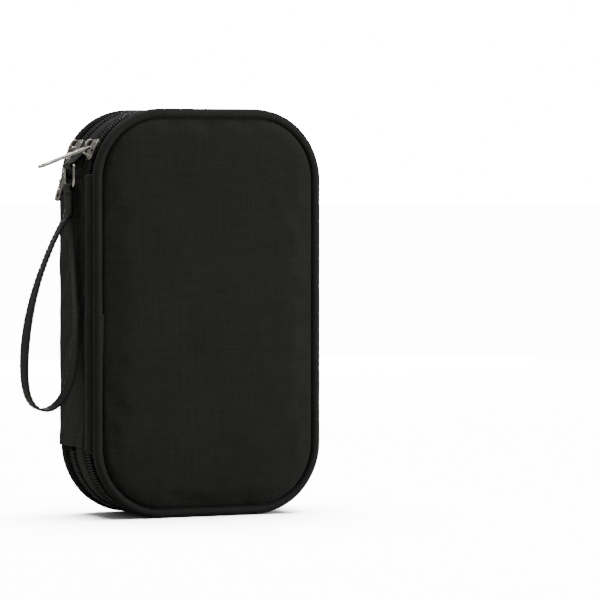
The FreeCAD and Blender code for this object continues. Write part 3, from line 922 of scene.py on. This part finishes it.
loop_path, loop_lean, loop_shift = strap_loop()
strap_end()
print("strap:", round(float(STRAP_WIDE), 1), "mm wide, loop", len(loop_path), "mm long")

# %% Make the tab
def ring_tab():
    angle = math.radians(24)
    out = np.array([-math.cos(angle), math.sin(angle)])
    foot = np.array([-FLAT_X, HEIGHT - CORNER]) + (CORNER - 0.95) * out
    ring = np.array([RING_X, TAB_Z])
    turn = np.radians(np.linspace(75, 285, 24))
    eye = ring + 1.42 * np.stack([np.cos(turn), np.sin(turn)], 1)
    slope = np.array([-out[1], out[0]])
    top = [foot + out * 0.9 - slope * 4.2, foot + out * 1.1 - slope * 1.5, foot + out * 1.6 + slope * 1.2]
    low = [foot + out * 0.3 + slope * 3.5, foot - slope * 0.6, foot - slope * 4.0]
    path = even(smooth_path(np.concatenate([top, eye, low]), 400), 0.5)
    piece = skin("ring_tab", flat_band(path, 8.8, 0.85), round_wide=True, ends=True)
    return fit(piece, webbing, "middle_leaf", "webbing", "ring_tab")


ring_tab()
finish_plan_node("d_ring", metal)
print("ring hangs at z", round(float(TAB_Z), 1))

# %% [markdown]
# ## Sliders and pulls
# These are small metal castings: thin plates with rounded edges, an arch for the pull and a
# raised rim round a sunk middle. A filled outline with a bevel gives that rounded plate at once,
# holes included. The slider is made straight and then bent to the corner it sits on.

# %% Cast plates from outlines
def rounded(corners, times=3):
    """Cuts the corners of a closed outline again and again, which rounds it."""
    outline = np.asarray(corners, float)
    for _ in range(times):
        ahead = np.roll(outline, -1, 0)
        outline = np.stack([outline * 0.75 + ahead * 0.25, outline * 0.25 + ahead * 0.75], 1).reshape(-1, 2)
    return outline


def slot_outline(start, stop, half, tip_half=None, count=10):
    """A long slot with round ends, as [along, across] points."""
    tip_half = half if tip_half is None else tip_half
    turn = np.radians(np.linspace(-90, 90, count))
    tip = np.stack([stop - tip_half + tip_half * np.cos(turn), tip_half * np.sin(turn)], 1)
    root = np.stack([start + half - half * np.cos(turn), -half * np.sin(turn)], 1)
    return np.concatenate([tip, root])


def plate(outline, holes, low, high, bevel):
    """A mesh's points and faces, in mm: [along, across, height]."""
    curve = bpy.data.curves.new("plate", "CURVE")
    curve.dimensions = "2D"
    curve.fill_mode = "BOTH"
    curve.extrude = max((high - low) / 2 - bevel, 0.001)
    curve.bevel_depth = bevel
    curve.bevel_resolution = 2
    curve.offset = -bevel
    for k, loop in enumerate([outline, *holes]):
        loop = np.asarray(loop, float)
        after = np.roll(loop, -1, 0)
        area = (loop[:, 0] * after[:, 1] - after[:, 0] * loop[:, 1]).sum()
        if (area > 0) != (k == 0):
            loop = loop[::-1]
        spline = curve.splines.new("POLY")
        spline.points.add(len(loop) - 1)
        tail = np.tile([0.0, 1.0], (len(loop), 1))
        spline.points.foreach_set("co", np.concatenate([loop, tail], 1).ravel())
        spline.use_cyclic_u = True
    holder = bpy.data.objects.new("plate", curve)
    mesh = bpy.data.meshes.new_from_object(holder)
    points = np.array([v.co for v in mesh.vertices])
    points[:, 2] += (high + low) / 2
    faces = [tuple(f.vertices) for f in mesh.polygons]
    bpy.data.objects.remove(holder)
    bpy.data.curves.remove(curve)
    bpy.data.meshes.remove(mesh)
    return points, faces


def tube_faces(grid):
    """Points and faces of a closed band, for joining with plates."""
    rows, columns = grid.shape[:2]
    number = np.arange(rows * columns).reshape(rows, columns)
    right = np.roll(number, -1, 1)
    quads = np.stack([number[:-1], number[1:], right[1:], right[:-1]], -1).reshape(-1, 4)
    faces = [tuple(f) for f in quads] + [tuple(number[0]), tuple(number[-1][::-1])]
    return grid.reshape(-1, 3), faces


def cast(name, parts, mapping, finish, body, slot, *nodes, cuts=()):
    """Joins parts, cuts them where they must bend, and puts them in place."""
    work = bmesh.new()
    for points, faces in parts:
        verts = [work.verts.new(p) for p in points]
        for face in faces:
            try:
                work.faces.new([verts[i] for i in face])
            except ValueError:
                pass
    bmesh.ops.remove_doubles(work, verts=work.verts, dist=0.002)
    for at in cuts:
        bmesh.ops.bisect_plane(work, geom=work.verts[:] + work.edges[:] + work.faces[:],
                               plane_co=(at, 0, 0), plane_no=(1, 0, 0))
    local = np.array([v.co for v in work.verts])
    for vertex, point in zip(work.verts, mapping(local) * MM):
        vertex.co = point
    bmesh.ops.recalc_face_normals(work, faces=work.faces)
    mesh = bpy.data.meshes.new(name)
    work.to_mesh(mesh)
    work.free()
    mesh.set_sharp_from_angle(angle=math.radians(42))
    piece = bpy.data.objects.new(name, mesh)
    bpy.context.collection.objects.link(piece)
    return fit(piece, finish, body, slot, *nodes)


# %% Make the sliders
SLIDER_AT = at_corner(26)
ZIP_Y = 10
SHIELD = [(-5.25, 1.4), (-5.25, 2.9), (-4.4, 3.85), (-2.0, 3.95), (1.5, 3.9), (3.8, 3.3), (5.25, 2.5),
          (5.25, 1.0)]

LIP = np.array([(-4.7, 3.15), (-4.2, 3.85), (1.6, 3.85), (4.7, 2.95), (4.5, 2.35), (1.5, 3.2)])
ARCH = [(-3.55, -0.3), (-3.5, 1.2), (-3.2, 2.75), (-1.6, 3.15), (0, 3.2), (1.6, 3.15), (3.2, 2.75),
        (3.5, 1.2), (3.55, -0.3)]


def slider(side):
    sign = SIDES[side]
    shield = rounded(SHIELD + [(a, -b) for a, b in SHIELD[::-1]], 2)
    parts = [plate(shield, [], -0.9, 0.15, 0.22), plate(shield, [], -4.3, -3.35, 0.22)]
    for edge in (-1, 1):
        for low, high in ((-1.75, -0.7), (-3.5, -2.95)):
            parts.append(plate(rounded(LIP * np.array([1, edge]), 1), [], low, high, 0.16))
    parts.append(plate(slot_outline(-5.0, -2.9, 0.42), [], -3.5, -0.7, 0.08))
    path = even(smooth_path(ARCH, 200), 0.3)
    across = 1.0 + 0.55 * np.clip((1.2 - path[:, 1]) / 1.5, 0, 1)
    loop = flat_band(path, 2.0, 0.85)
    loop[..., 1] *= across[:, None]
    parts.append(tube_faces(loop))

    def mapping(p):
        return place(SLIDER_AT + p[:, 0], -p[:, 2], sign * ZIP_Y + p[:, 1])

    return cast(side + "_slider", parts, mapping, metal, side + "_slider", "metal", side + "_slider",
                cuts=np.arange(-4.5, 4.6, 0.9))


# %% Make the pulls
PIVOT = Vector((-55.298, 0, 171.887))
HANG = {"front": math.radians(20.7), "back": math.radians(72)}


def pull(side):
    sign = SIDES[side]
    half = [(-0.62, 1.3), (-0.55, 2.2), (0.6, 2.75), (5.5, 2.62), (9.0, 2.35), (14, 2.6), (21, 3.1),
            (24.6, 3.15), (26.1, 1.9), (26.25, 0.8)]
    outline = rounded(half + [(a, -b) for a, b in half[::-1]], 2)
    window = slot_outline(0.62, 5.5, 1.5)
    hole = slot_outline(21.9, 25.1, 1.45, 1.45)
    sunk = slot_outline(6.9, 20.9, 1.25, 1.95)
    parts = [plate(outline, [window, sunk, hole], -0.62, 0.62, 0.28),
             plate(slot_outline(6.3, 21.5, 1.7, 2.35), [], -0.28, 0.28, 0.05)]
    slope = HANG[side]
    ahead = np.array([-math.cos(slope), 0, -math.sin(slope)])
    thick = np.array([math.sin(slope), 0, -math.cos(slope)])
    across = np.array([0.0, 1.0, 0.0])

    def mapping(p):
        start = np.array(PIVOT) + across * (sign * ZIP_Y)
        return start + p[:, :1] * ahead + p[:, 1:2] * across + p[:, 2:] * thick

    return cast(side + "_pull", parts, mapping, metal, side + "_pull", "metal", side + "_pull")


for side in SIDES:
    slider(side)
    pull(side)
print("sliders at", round(float(SLIDER_AT), 1), "mm round the outline")

# %% [markdown]
# ## The grey inside
# Each cover is lined like a shallow tray: a smooth floor, and a side wall that is cut a little
# long and gathered along the zip, which is why it crinkles. The middle leaf is lined on both
# sides. Everything here is thin cloth, so each piece is a closed sheet that follows the outline.

# %% Line the covers and the leaf
LINING_Y = 19.1


def cover_lining(side):
    sign = SIDES[side]
    x, z, s = face_grid(3.6, 31, 51)
    depth = inset_of(x, z)
    calm = 0.16 * wavy(x * 1.7 + z * 1.3, 1, 60, 71) * np.tanh((depth - 3.6) / 8)
    outer = np.stack([x, sign * (LINING_Y + calm), z], -1)
    inner = outer + np.array([0, sign * 0.4, 0])
    piece = slab(side + "_cover_lining", outer, inner, np.stack([z, x], -1))
    fit(piece, lining, side + "_cover", "lining", side + "_cover_lining")
    s = np.arange(0, ROUND, 0.8)[:, None]
    up = np.linspace(0, 1, 9)[None, :]
    crinkle = (wavy(s, 0.30, 7.5, 72) + wavy(s, 0.16, 4.1, 73)) * up ** 1.3
    wall_y = LINING_Y - 3.9 * up + 0.10 * wavy(s, 1, 9, 74) * up
    inner = place(s, 3.35 + 0.3 * up + np.abs(crinkle) + 0.25, sign * wall_y)
    outer = place(s, 3.20 + 0.3 * up + np.abs(crinkle), sign * wall_y)
    grid = np.concatenate([outer, inner[:, ::-1]], 1)
    wall = skin(side + "_lining_wall", grid, round_long=True, round_wide=True)
    fit(wall, lining, side + "_cover", "lining")
    s = np.arange(0, ROUND, 0.7)
    turn = np.linspace(0, 2 * math.pi, 10, endpoint=False)
    puckers = 1 + wavy(s, 0.22, 3.9, 75)[:, None] * np.clip(np.cos(turn), 0, 1)
    roll = 0.62 * puckers
    cut = np.stack([3.75 + roll * np.cos(turn), sign * (15.1 + roll * np.sin(turn))], -1)
    fit(sweep(side + "_edge_binding", s, cut, whole=True), binding, side + "_cover", "lining")


def leaf_lining(side):
    sign = SIDES[side]
    x, z, s = face_grid(2.85, 31, 51)
    calm = 0.10 * wavy(x * 1.9 + z * 1.1, 1, 60, 76) * np.tanh((inset_of(x, z) - 2.85) / 8)
    inner = np.stack([x, sign * (0.85 + 0 * calm), z], -1)
    outer = np.stack([x, sign * (1.25 + calm), z], -1)
    piece = slab("leaf_lining_" + side, outer, inner, np.stack([z, x], -1))
    fit(piece, lining, "middle_leaf", "lining", "leaf_lining_" + side)
    s = np.arange(0, ROUND, 0.8)[:, None]
    up = np.linspace(0, 1, 8)[None, :]
    crinkle = np.abs(wavy(s, 0.26, 6.6, 77) + wavy(s, 0.14, 3.7, 78))
    crinkle = crinkle * np.sin(math.pi * (0.15 + 0.85 * up))
    y = 1.3 + 4.1 * up
    outer = place(s, 3.0 + crinkle, sign * y)
    inner = place(s, 3.22 + crinkle, sign * y)
    grid = np.concatenate([outer, inner[:, ::-1]], 1)
    wall = skin(side + "_leaf_lining_wall", grid, round_long=True, round_wide=True)
    fit(wall, lining, "middle_leaf", "lining")


PLEAT = np.array([(-54.2, 5.0), (-53.6, 6.2), (-51.6, 7.6), (-50.2, 9.6), (-50.6, 11.6), (-52.2, 13.2),
                  (-53.4, 14.6), (-53.6, 15.4)])
for side, sign in SIDES.items():
    cover_lining(side)
    leaf_lining(side)
    pleat = upright_fold(side + "_spine_lining", PLEAT * (1, sign), 0.3, 37.0, 153.0,
                         rows=110, waver=0.3, seed=79)
    pleat.data.materials.append(lining)
    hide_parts(side + "_spine_lining")
    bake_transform(pleat)
print("the inside is lined")

# %% [markdown]
# ## Net pocket, plain pocket and elastics
# The front cover has a knitted net pocket with an elastic top and a narrow elastic strap down
# it. The back cover has a plain pocket. Cloth sewn at its border and drawn in at its mouth
# stands off the floor in a soft curve, so the height is worked out from how far in a point is.

# %% Make the cover pockets
MOUTH, POCKET_FOOT, POCKET_SEAM, STRAP_X = 126.0, 5.6, 5.4, -12.0


def pocket_height(x, z):
    """How far from the leaf a cover pocket's cloth lies, in mm, by where it is on the face."""
    depth = np.maximum(inset_of(x, z) - POCKET_SEAM, 0)
    rise = 1 - np.exp(-depth / 4.2)
    lift = 0.62 + 0.38 * np.clip(z / MOUTH, 0, 1)
    return 18.75 - 4.9 * rise * lift


def cover_pocket(side):
    sign = SIDES[side]
    v = np.linspace(0, 1, 46)[None, :]
    u = np.linspace(-1, 1, 41)[:, None]
    z = POCKET_FOOT + (MOUTH - POCKET_FOOT) * v
    bend = CORNER - POCKET_FOOT
    half = FLAT_X + bend * np.sqrt(np.clip(1 - (np.clip(CORNER - z, 0, CORNER) / bend) ** 2, 0, 1))
    x = u * np.maximum(half, FLAT_X * 0.98)
    z = z + 0 * x
    slack = 0.35 * wavy(x * 3.1 + z, 1, 70, 81) * np.tanh((inset_of(x, z) - POCKET_SEAM) / 9)
    points = np.stack([x, sign * (pocket_height(x, z) + slack), z], -1)
    under = points + np.array([0, sign * 0.22, 0])
    piece = slab(side + "_cover_pocket", points, under, np.stack([z, x], -1))
    cloth, slot = (net, "mesh") if side == "front" else (lining, "lining")
    fit(piece, cloth, side + "_cover", slot, side + "_cover_pocket")
    hem_x = np.linspace(-51.6, 51.6, 120)
    ruffle = wavy(hem_x + 60, 0.16, 5.2, 82) + wavy(hem_x + 60, 0.10, 2.9, 83)
    cut = band(-0.45, 0.45, -4.2, 4.2, 12)
    hem_y = pocket_height(hem_x, MOUTH + 0 * hem_x) + ruffle
    grid = np.stack(np.broadcast_arrays(hem_x[:, None], sign * (hem_y[:, None] + cut[None, :, 0]),
                                        129.2 + cut[None, :, 1]), -1)
    hem = skin(side + "_pocket_hem", grid, round_wide=True, ends=True)
    fit(hem, elastic, side + "_cover", "elastic", side + "_pocket_hem")


def elastic_strap():
    z = np.linspace(10.5, 131, 110)
    y = pocket_height(np.full_like(z, STRAP_X), z) - 0.75
    y = np.where(z > 125, y - 0.55 * np.clip((z - 124) / 3, 0, 1), y)
    tack = np.exp(-((z - 62) / 3.0) ** 2) * 0.35
    cut = band(-0.32, 0.32, -4.0, 4.0, 14)
    waist = 1 - 0.05 * np.exp(-((z - 62) / 2.5) ** 2)
    grid = np.stack(np.broadcast_arrays(STRAP_X + cut[None, :, 1] * waist[:, None],
                                        -(y + tack)[:, None] - cut[None, :, 0], z[:, None]), -1)
    strap = skin("front_elastic_strap", grid, round_wide=True, ends=True)
    fit(strap, elastic, "front_cover", "elastic", "front_elastic_strap")


for side in SIDES:
    cover_pocket(side)
elastic_strap()
print("cover pockets are", round(MOUTH - POCKET_FOOT), "mm deep")

# %% [markdown]
# ## Three net pockets on the leaf
# They are one row of net, sewn down between them, with mouths that face away from the spine.
# A flat sheet would look printed on. Each one is given a rounded swell that dies away at its
# seams, and a bound mouth that curves like a hammock, which is how slack net hangs.


def leaf_pocket(number):
    low, high = (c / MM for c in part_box(f"leaf_pocket_{number}"))
    z = np.linspace(low.z, high.z, 33)[None, :]
    q = 2 * (z - low.z) / (high.z - low.z) - 1
    mouth = 13.6 - 2.6 * (1 - q * q) - 1.2 * q
    u = np.linspace(0, 1, 37)[:, None]
    up = np.abs(z - HEIGHT / 2) - FLAT_Z
    corner_x = -FLAT_X - np.sqrt((CORNER - 5.2) ** 2 - np.clip(up, 0, CORNER - 5.3) ** 2)
    root = np.maximum(low.x, corner_x)
    x = root + (mouth - root) * u
    bulge = np.sqrt(np.clip(1 - np.abs(q) ** 3.2, 0, 1)) * (1 - np.exp(-(x - root) / 9))
    bulge = bulge * (0.55 + 0.45 * u)
    y = 1.55 + 4.9 * bulge + 0.18 * wavy(x * 2.9 + z * 2, 1, 60, 90 + number) * bulge
    z = z + 0 * x
    points = np.stack([x, -y, z], -1)
    under = points + np.array([0, 0.2, 0])
    piece = slab(f"leaf_pocket_{number}", points, under, np.stack([z, x], -1))
    fit(piece, net, "middle_leaf", "mesh", f"leaf_pocket_{number}")
    lip = points[-1]
    roll = np.linspace(0, 2 * math.pi, 12, endpoint=False)
    gather = 1 + 0.10 * np.sin(np.arange(len(lip)) * 2.1)[:, None]
    grid = np.stack([lip[:, None, 0] + 1.45 * gather * np.cos(roll),
                     lip[:, None, 1] - 0.1 + 0.5 * np.sin(roll), lip[:, None, 2] + 0 * roll], -1)
    bound = skin(f"pocket_binding_{number}", grid, round_wide=True, ends=True)
    fit(bound, binding, "middle_leaf", "lining", f"pocket_binding_{number}")


for number in (1, 2, 3):
    leaf_pocket(number)
print("leaf pockets: 3")

# %% [markdown]
# ## Stitches
# A seam without stitches looks glued. Each stitch is a tiny bead of thread that dips into the
# cloth at both ends. One bead shape is copied along every seam line, and all the seams that
# move together become one mesh.

# %% Sew seam lines
def read(values, length, where):
    """Values along a line, at given distances from its start."""
    return np.stack([np.interp(where, length, values[:, k]) for k in range(3)], 1)


def seam(name, lines, finish, body, slot, pitch=2.6, share=0.72, thick=0.34):
    """lines is a list of (points, outward directions) in mm."""
    ring = 2 * math.pi * np.arange(5) / 5
    along = np.linspace(-1, 1, 6)
    fat = np.sqrt(np.clip(1 - np.abs(along) ** 3, 0.03, 1))
    number = np.arange(30).reshape(6, 5)
    right = np.roll(number, -1, 1)
    quads = np.stack([number[:-1], number[1:], right[1:], right[:-1]], -1).reshape(-1, 4)
    all_points, all_faces = [], []
    for points, out in lines:
        points = np.asarray(points, float)
        out = np.broadcast_to(np.asarray(out, float), points.shape)
        length = np.concatenate([[0], np.cumsum(np.linalg.norm(np.diff(points, axis=0), axis=1))])
        count = int(length[-1] / pitch)
        at = (np.arange(count) + 0.5) * length[-1] / count
        centre, up = read(points, length, at), read(out, length, at)
        before, after = np.maximum(at - 0.3, 0), np.minimum(at + 0.3, length[-1])
        way = read(points, length, after) - read(points, length, before)
        way /= np.linalg.norm(way, axis=1, keepdims=True)
        up -= way * (up * way).sum(1, keepdims=True)
        up /= np.linalg.norm(up, axis=1, keepdims=True)
        side_way = np.cross(way, up)
        forward = (along * pitch * share / 2)[None, :, None, None]
        rise = thick * 0.42 * fat[:, None] * np.sin(ring) - (0.22 * along ** 4)[:, None]
        sideways = thick / 2 * fat[:, None] * np.cos(ring)
        bead = (centre[:, None, None] + way[:, None, None] * forward
                + up[:, None, None] * rise[None, :, :, None]
                + side_way[:, None, None] * sideways[None, :, :, None])
        for k in range(count):
            base = len(all_points) * 30
            all_points.append(bead[k].reshape(-1, 3))
            all_faces += [tuple(f + base) for f in quads]
            all_faces += [tuple(number[0] + base), tuple(number[-1][::-1] + base)]
    points = np.concatenate(all_points)
    spots = points[np.concatenate([np.array(f) for f in all_faces])]
    cloth_place = np.stack([spots[:, 2], spots[:, 0] + spots[:, 1]], 1)
    piece = outward(make_mesh(name, points, all_faces, cloth_place))
    if isinstance(body, str):
        fit(piece, finish, body, slot)
    else:
        piece.data.materials.append(finish)
        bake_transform(piece)
    return len(all_points)


def round_line(inset, y, start=0.0, stop=ROUND):
    s = np.arange(start, stop, 1.0)
    return place(s, inset, y), facing(s)


# %% Sew the black seams
leaf_lines = [round_line(0.98, y) for y in (-4.7, 4.7)]
leaf_lines += [round_line(2.30, y, ZIP_FROM, ZIP_TO) for y in (-6.35, 6.35)]
y_run = np.linspace(-7.9, 21.0, 60)
OUT_OF_SPINE = (-1.0, 0, 0)
hems = []
for z in (SPINE_FROM + 2.2, SPINE_FROM + 6.0, SPINE_TO - 6.0, SPINE_TO - 2.2):
    x = spine_surface(y_run, z + 0 * y_run) - 0.03
    hems.append((np.stack([x, y_run, z + 0 * y_run], 1), OUT_OF_SPINE))
count = seam("leaf_stitches", leaf_lines, black_thread, "middle_leaf", "oxford")
count += seam("spine_stitches", hems, black_thread, ("middle_leaf", "back_cover", *SPINE_BEND), "oxford")
for side, sign in SIDES.items():
    lines = [round_line(2.28, sign * y, ZIP_FROM, ZIP_TO) for y in (17.3, 13.7)]
    if side == "front":
        y = -np.linspace(10.9, 16.9, 12)
        x = -58.28 + 0.8 * ((np.abs(y) - 13.85) / 3.9) ** 2
        lines += [(np.stack([x, y, z + 0 * y], 1), OUT_OF_SPINE) for z in (33.2, 156.8)]
    count += seam(side + "_cover_stitches", lines, black_thread, side + "_cover", "oxford")
STRAP_SKIN = 0.60
edge = STRAP_WIDE / 2 - 1.0
shown = np.concatenate([loop_path, loop_path[:1]])
tilt = np.concatenate([loop_lean, loop_lean[:1]])
shift = np.append(loop_shift, loop_shift[0])
ahead = np.gradient(shown, axis=0)
ahead /= np.linalg.norm(ahead, axis=1, keepdims=True)
level = np.stack([-ahead[:, 1], ahead[:, 0]], 1)
lines = []
for face_side in (-1, 1):
    for row in (-edge, edge):
        away = face_side * STRAP_SKIN * np.cos(tilt) + row * np.sin(tilt)
        y = row * np.cos(tilt) - face_side * STRAP_SKIN * np.sin(tilt) + shift
        centre = shown + level * away[:, None]
        out = np.stack([face_side * level[:, 0], 0 * y, face_side * level[:, 1]], 1)
        lines.append((np.stack([centre[:, 0], y, centre[:, 1]], 1), out))
for z in (140.6, 143.0, 148.8):
    y = np.linspace(-3.6, 3.6, 12)
    for face_side in (-1, 1):
        lines.append((np.stack([RING_X + face_side * 1.50 + 0 * y, y, z + 0 * y], 1), (face_side, 0, 0)))
count += seam("strap_stitches", lines, black_thread, "wrist_strap", "webbing", pitch=2.4, thick=0.3)
print("black stitches:", count)

# %% Sew the grey seams
for side, sign in SIDES.items():
    x = np.linspace(-50.6, 50.6, 80)
    height = pocket_height(x, MOUTH + 0 * x)
    y = sign * (height - 0.52)
    rows = [(np.stack([x, y, z + 0 * x], 1), (0, -sign, 0)) for z in (126.6, 131.8)]
    seam(side + "_pocket_stitches", rows, grey_thread, side + "_cover", "lining", pitch=2.2, thick=0.3)
rows = []
for z in (67.17, 122.83):
    x = np.linspace(-51, 14, 40)
    rows.append((np.stack([x, -1.62 + 0 * x, z + 0 * x], 1), (0, -1.0, 0)))
z = np.linspace(27, 163, 80)
rows.append((np.stack([-51.0 + 0 * z, -1.62 + 0 * z, z], 1), (0, -1.0, 0)))
seam("leaf_pocket_stitches", rows, grey_thread, "middle_leaf", "lining", pitch=2.2, thick=0.3)
print("grey seams are sewn")

# %% [markdown]
# ## Floor, backdrop and light
# The stage is a plain pale floor under a soft sky, as in a light tent. A large soft lamp on the
# right models the shapes, a very weak one on the left keeps the spine readable, one behind shows
# the back, and a lamp above draws a line of light along the top piping. One even white sky
# would be simpler, but black cloth turns grey and flat in it. So the sky and the floor look
# white, and give the pouch little light. The floor has a lamp of its own for its soft shadow.

# %% Light the stage
REACH = 30
stage_points = [(x * REACH, y * REACH, 0) for x, y in ((-1, -1), (1, -1), (1, 1), (-1, 1))]
floor_mesh = bpy.data.meshes.new("floor")
floor_mesh.from_pydata(stage_points, [], [(0, 1, 2, 3)])
floor = bpy.data.objects.new("floor", floor_mesh)
bpy.context.collection.objects.link(floor)


def floor_finish():
    paper = Finish("white_floor", Roughness=0.9, Specular_IOR_Level=0.0)
    where = paper.node("ShaderNodeTexCoord", output=3)
    grain = paper.mottle(where, 40.0)
    paper.feed(Base_Color=paper.tint(grain, (0.90, 0.90, 0.90), (0.93, 0.93, 0.93)))
    seen = paper.node("ShaderNodeLightPath")
    quiet = paper.node("ShaderNodeBsdfDiffuse", None, {"Color": (0.038, 0.038, 0.035, 1)})
    white = Wire(paper, paper.shader.outputs[0])
    pick = paper.node("ShaderNodeMixShader", None, {0: seen, 1: quiet, 2: white})
    out = paper.tree.nodes["Material Output"]
    paper.tree.links.new(pick.socket, out.inputs[0])
    return paper.material


floor.data.materials.append(floor_finish())
world = bpy.data.worlds.new("tent")
bpy.context.scene.world = world
world.use_nodes = True


class Sky(Finish):
    """The tent round the stage, with the same helpers as a material."""

    def __init__(self, made_world):
        self.tree = made_world.node_tree


tent = Sky(world)
way = tent.node("ShaderNodeTexCoord")
split = tent.node("ShaderNodeSeparateXYZ", None, {0: way})
over_head = Wire(tent, split.socket.node.outputs[2])
from_above = over_head.maths("MAXIMUM", over_head, 0.0)
from_right = split.maths("MAXIMUM", split, 0.0)
glow = 0.075 + from_above * 0.55 + from_right * 0.26
soft = tent.node("ShaderNodeBackground", None, {"Color": (1, 1, 1, 1), "Strength": glow})
bright = tent.node("ShaderNodeBackground", None, {"Color": (1, 1, 1, 1), "Strength": 22.0})
seen = tent.node("ShaderNodeLightPath")
both = tent.node("ShaderNodeMixShader", None, {0: seen, 1: soft, 2: bright})
tent.tree.links.new(both.socket, tent.tree.nodes["World Output"].inputs[0])


def lamp(name, where, size, power):
    light = bpy.data.lights.new(name, "AREA")
    light.shape = "RECTANGLE"
    light.size, light.size_y = size
    light.energy = power
    holder = bpy.data.objects.new(name, light)
    holder.location = where
    holder.rotation_euler = (MIDDLE - Vector(where)).to_track_quat("-Z", "Y").to_euler()
    bpy.context.collection.objects.link(holder)
    return holder


lamp("lamp_right", (0.50, -0.50, 0.24), (0.35, 0.45), 2.8)
lamp("lamp_left", (-1.3, -0.5, 0.45), (0.30, 0.9), 0.25)
lamp("lamp_behind", (0.5, 1.5, 0.2), (0.8, 0.6), 20.0)
lamp("lamp_above", (-0.1, 0.1, 1.1), (0.7, 0.5), 5.0)
sun = bpy.data.lights.new("lamp_floor", "SUN")
sun.energy = 47
sun.angle = math.radians(56)
sun_holder = bpy.data.objects.new("lamp_floor", sun)
sun_holder.rotation_euler = (math.radians(-8), math.radians(6), 0)
bpy.context.collection.objects.link(sun_holder)
lit = bpy.data.collections.new("lamp_floor_lights")
lit.objects.link(floor)
sun_holder.light_linking.receiver_collection = lit
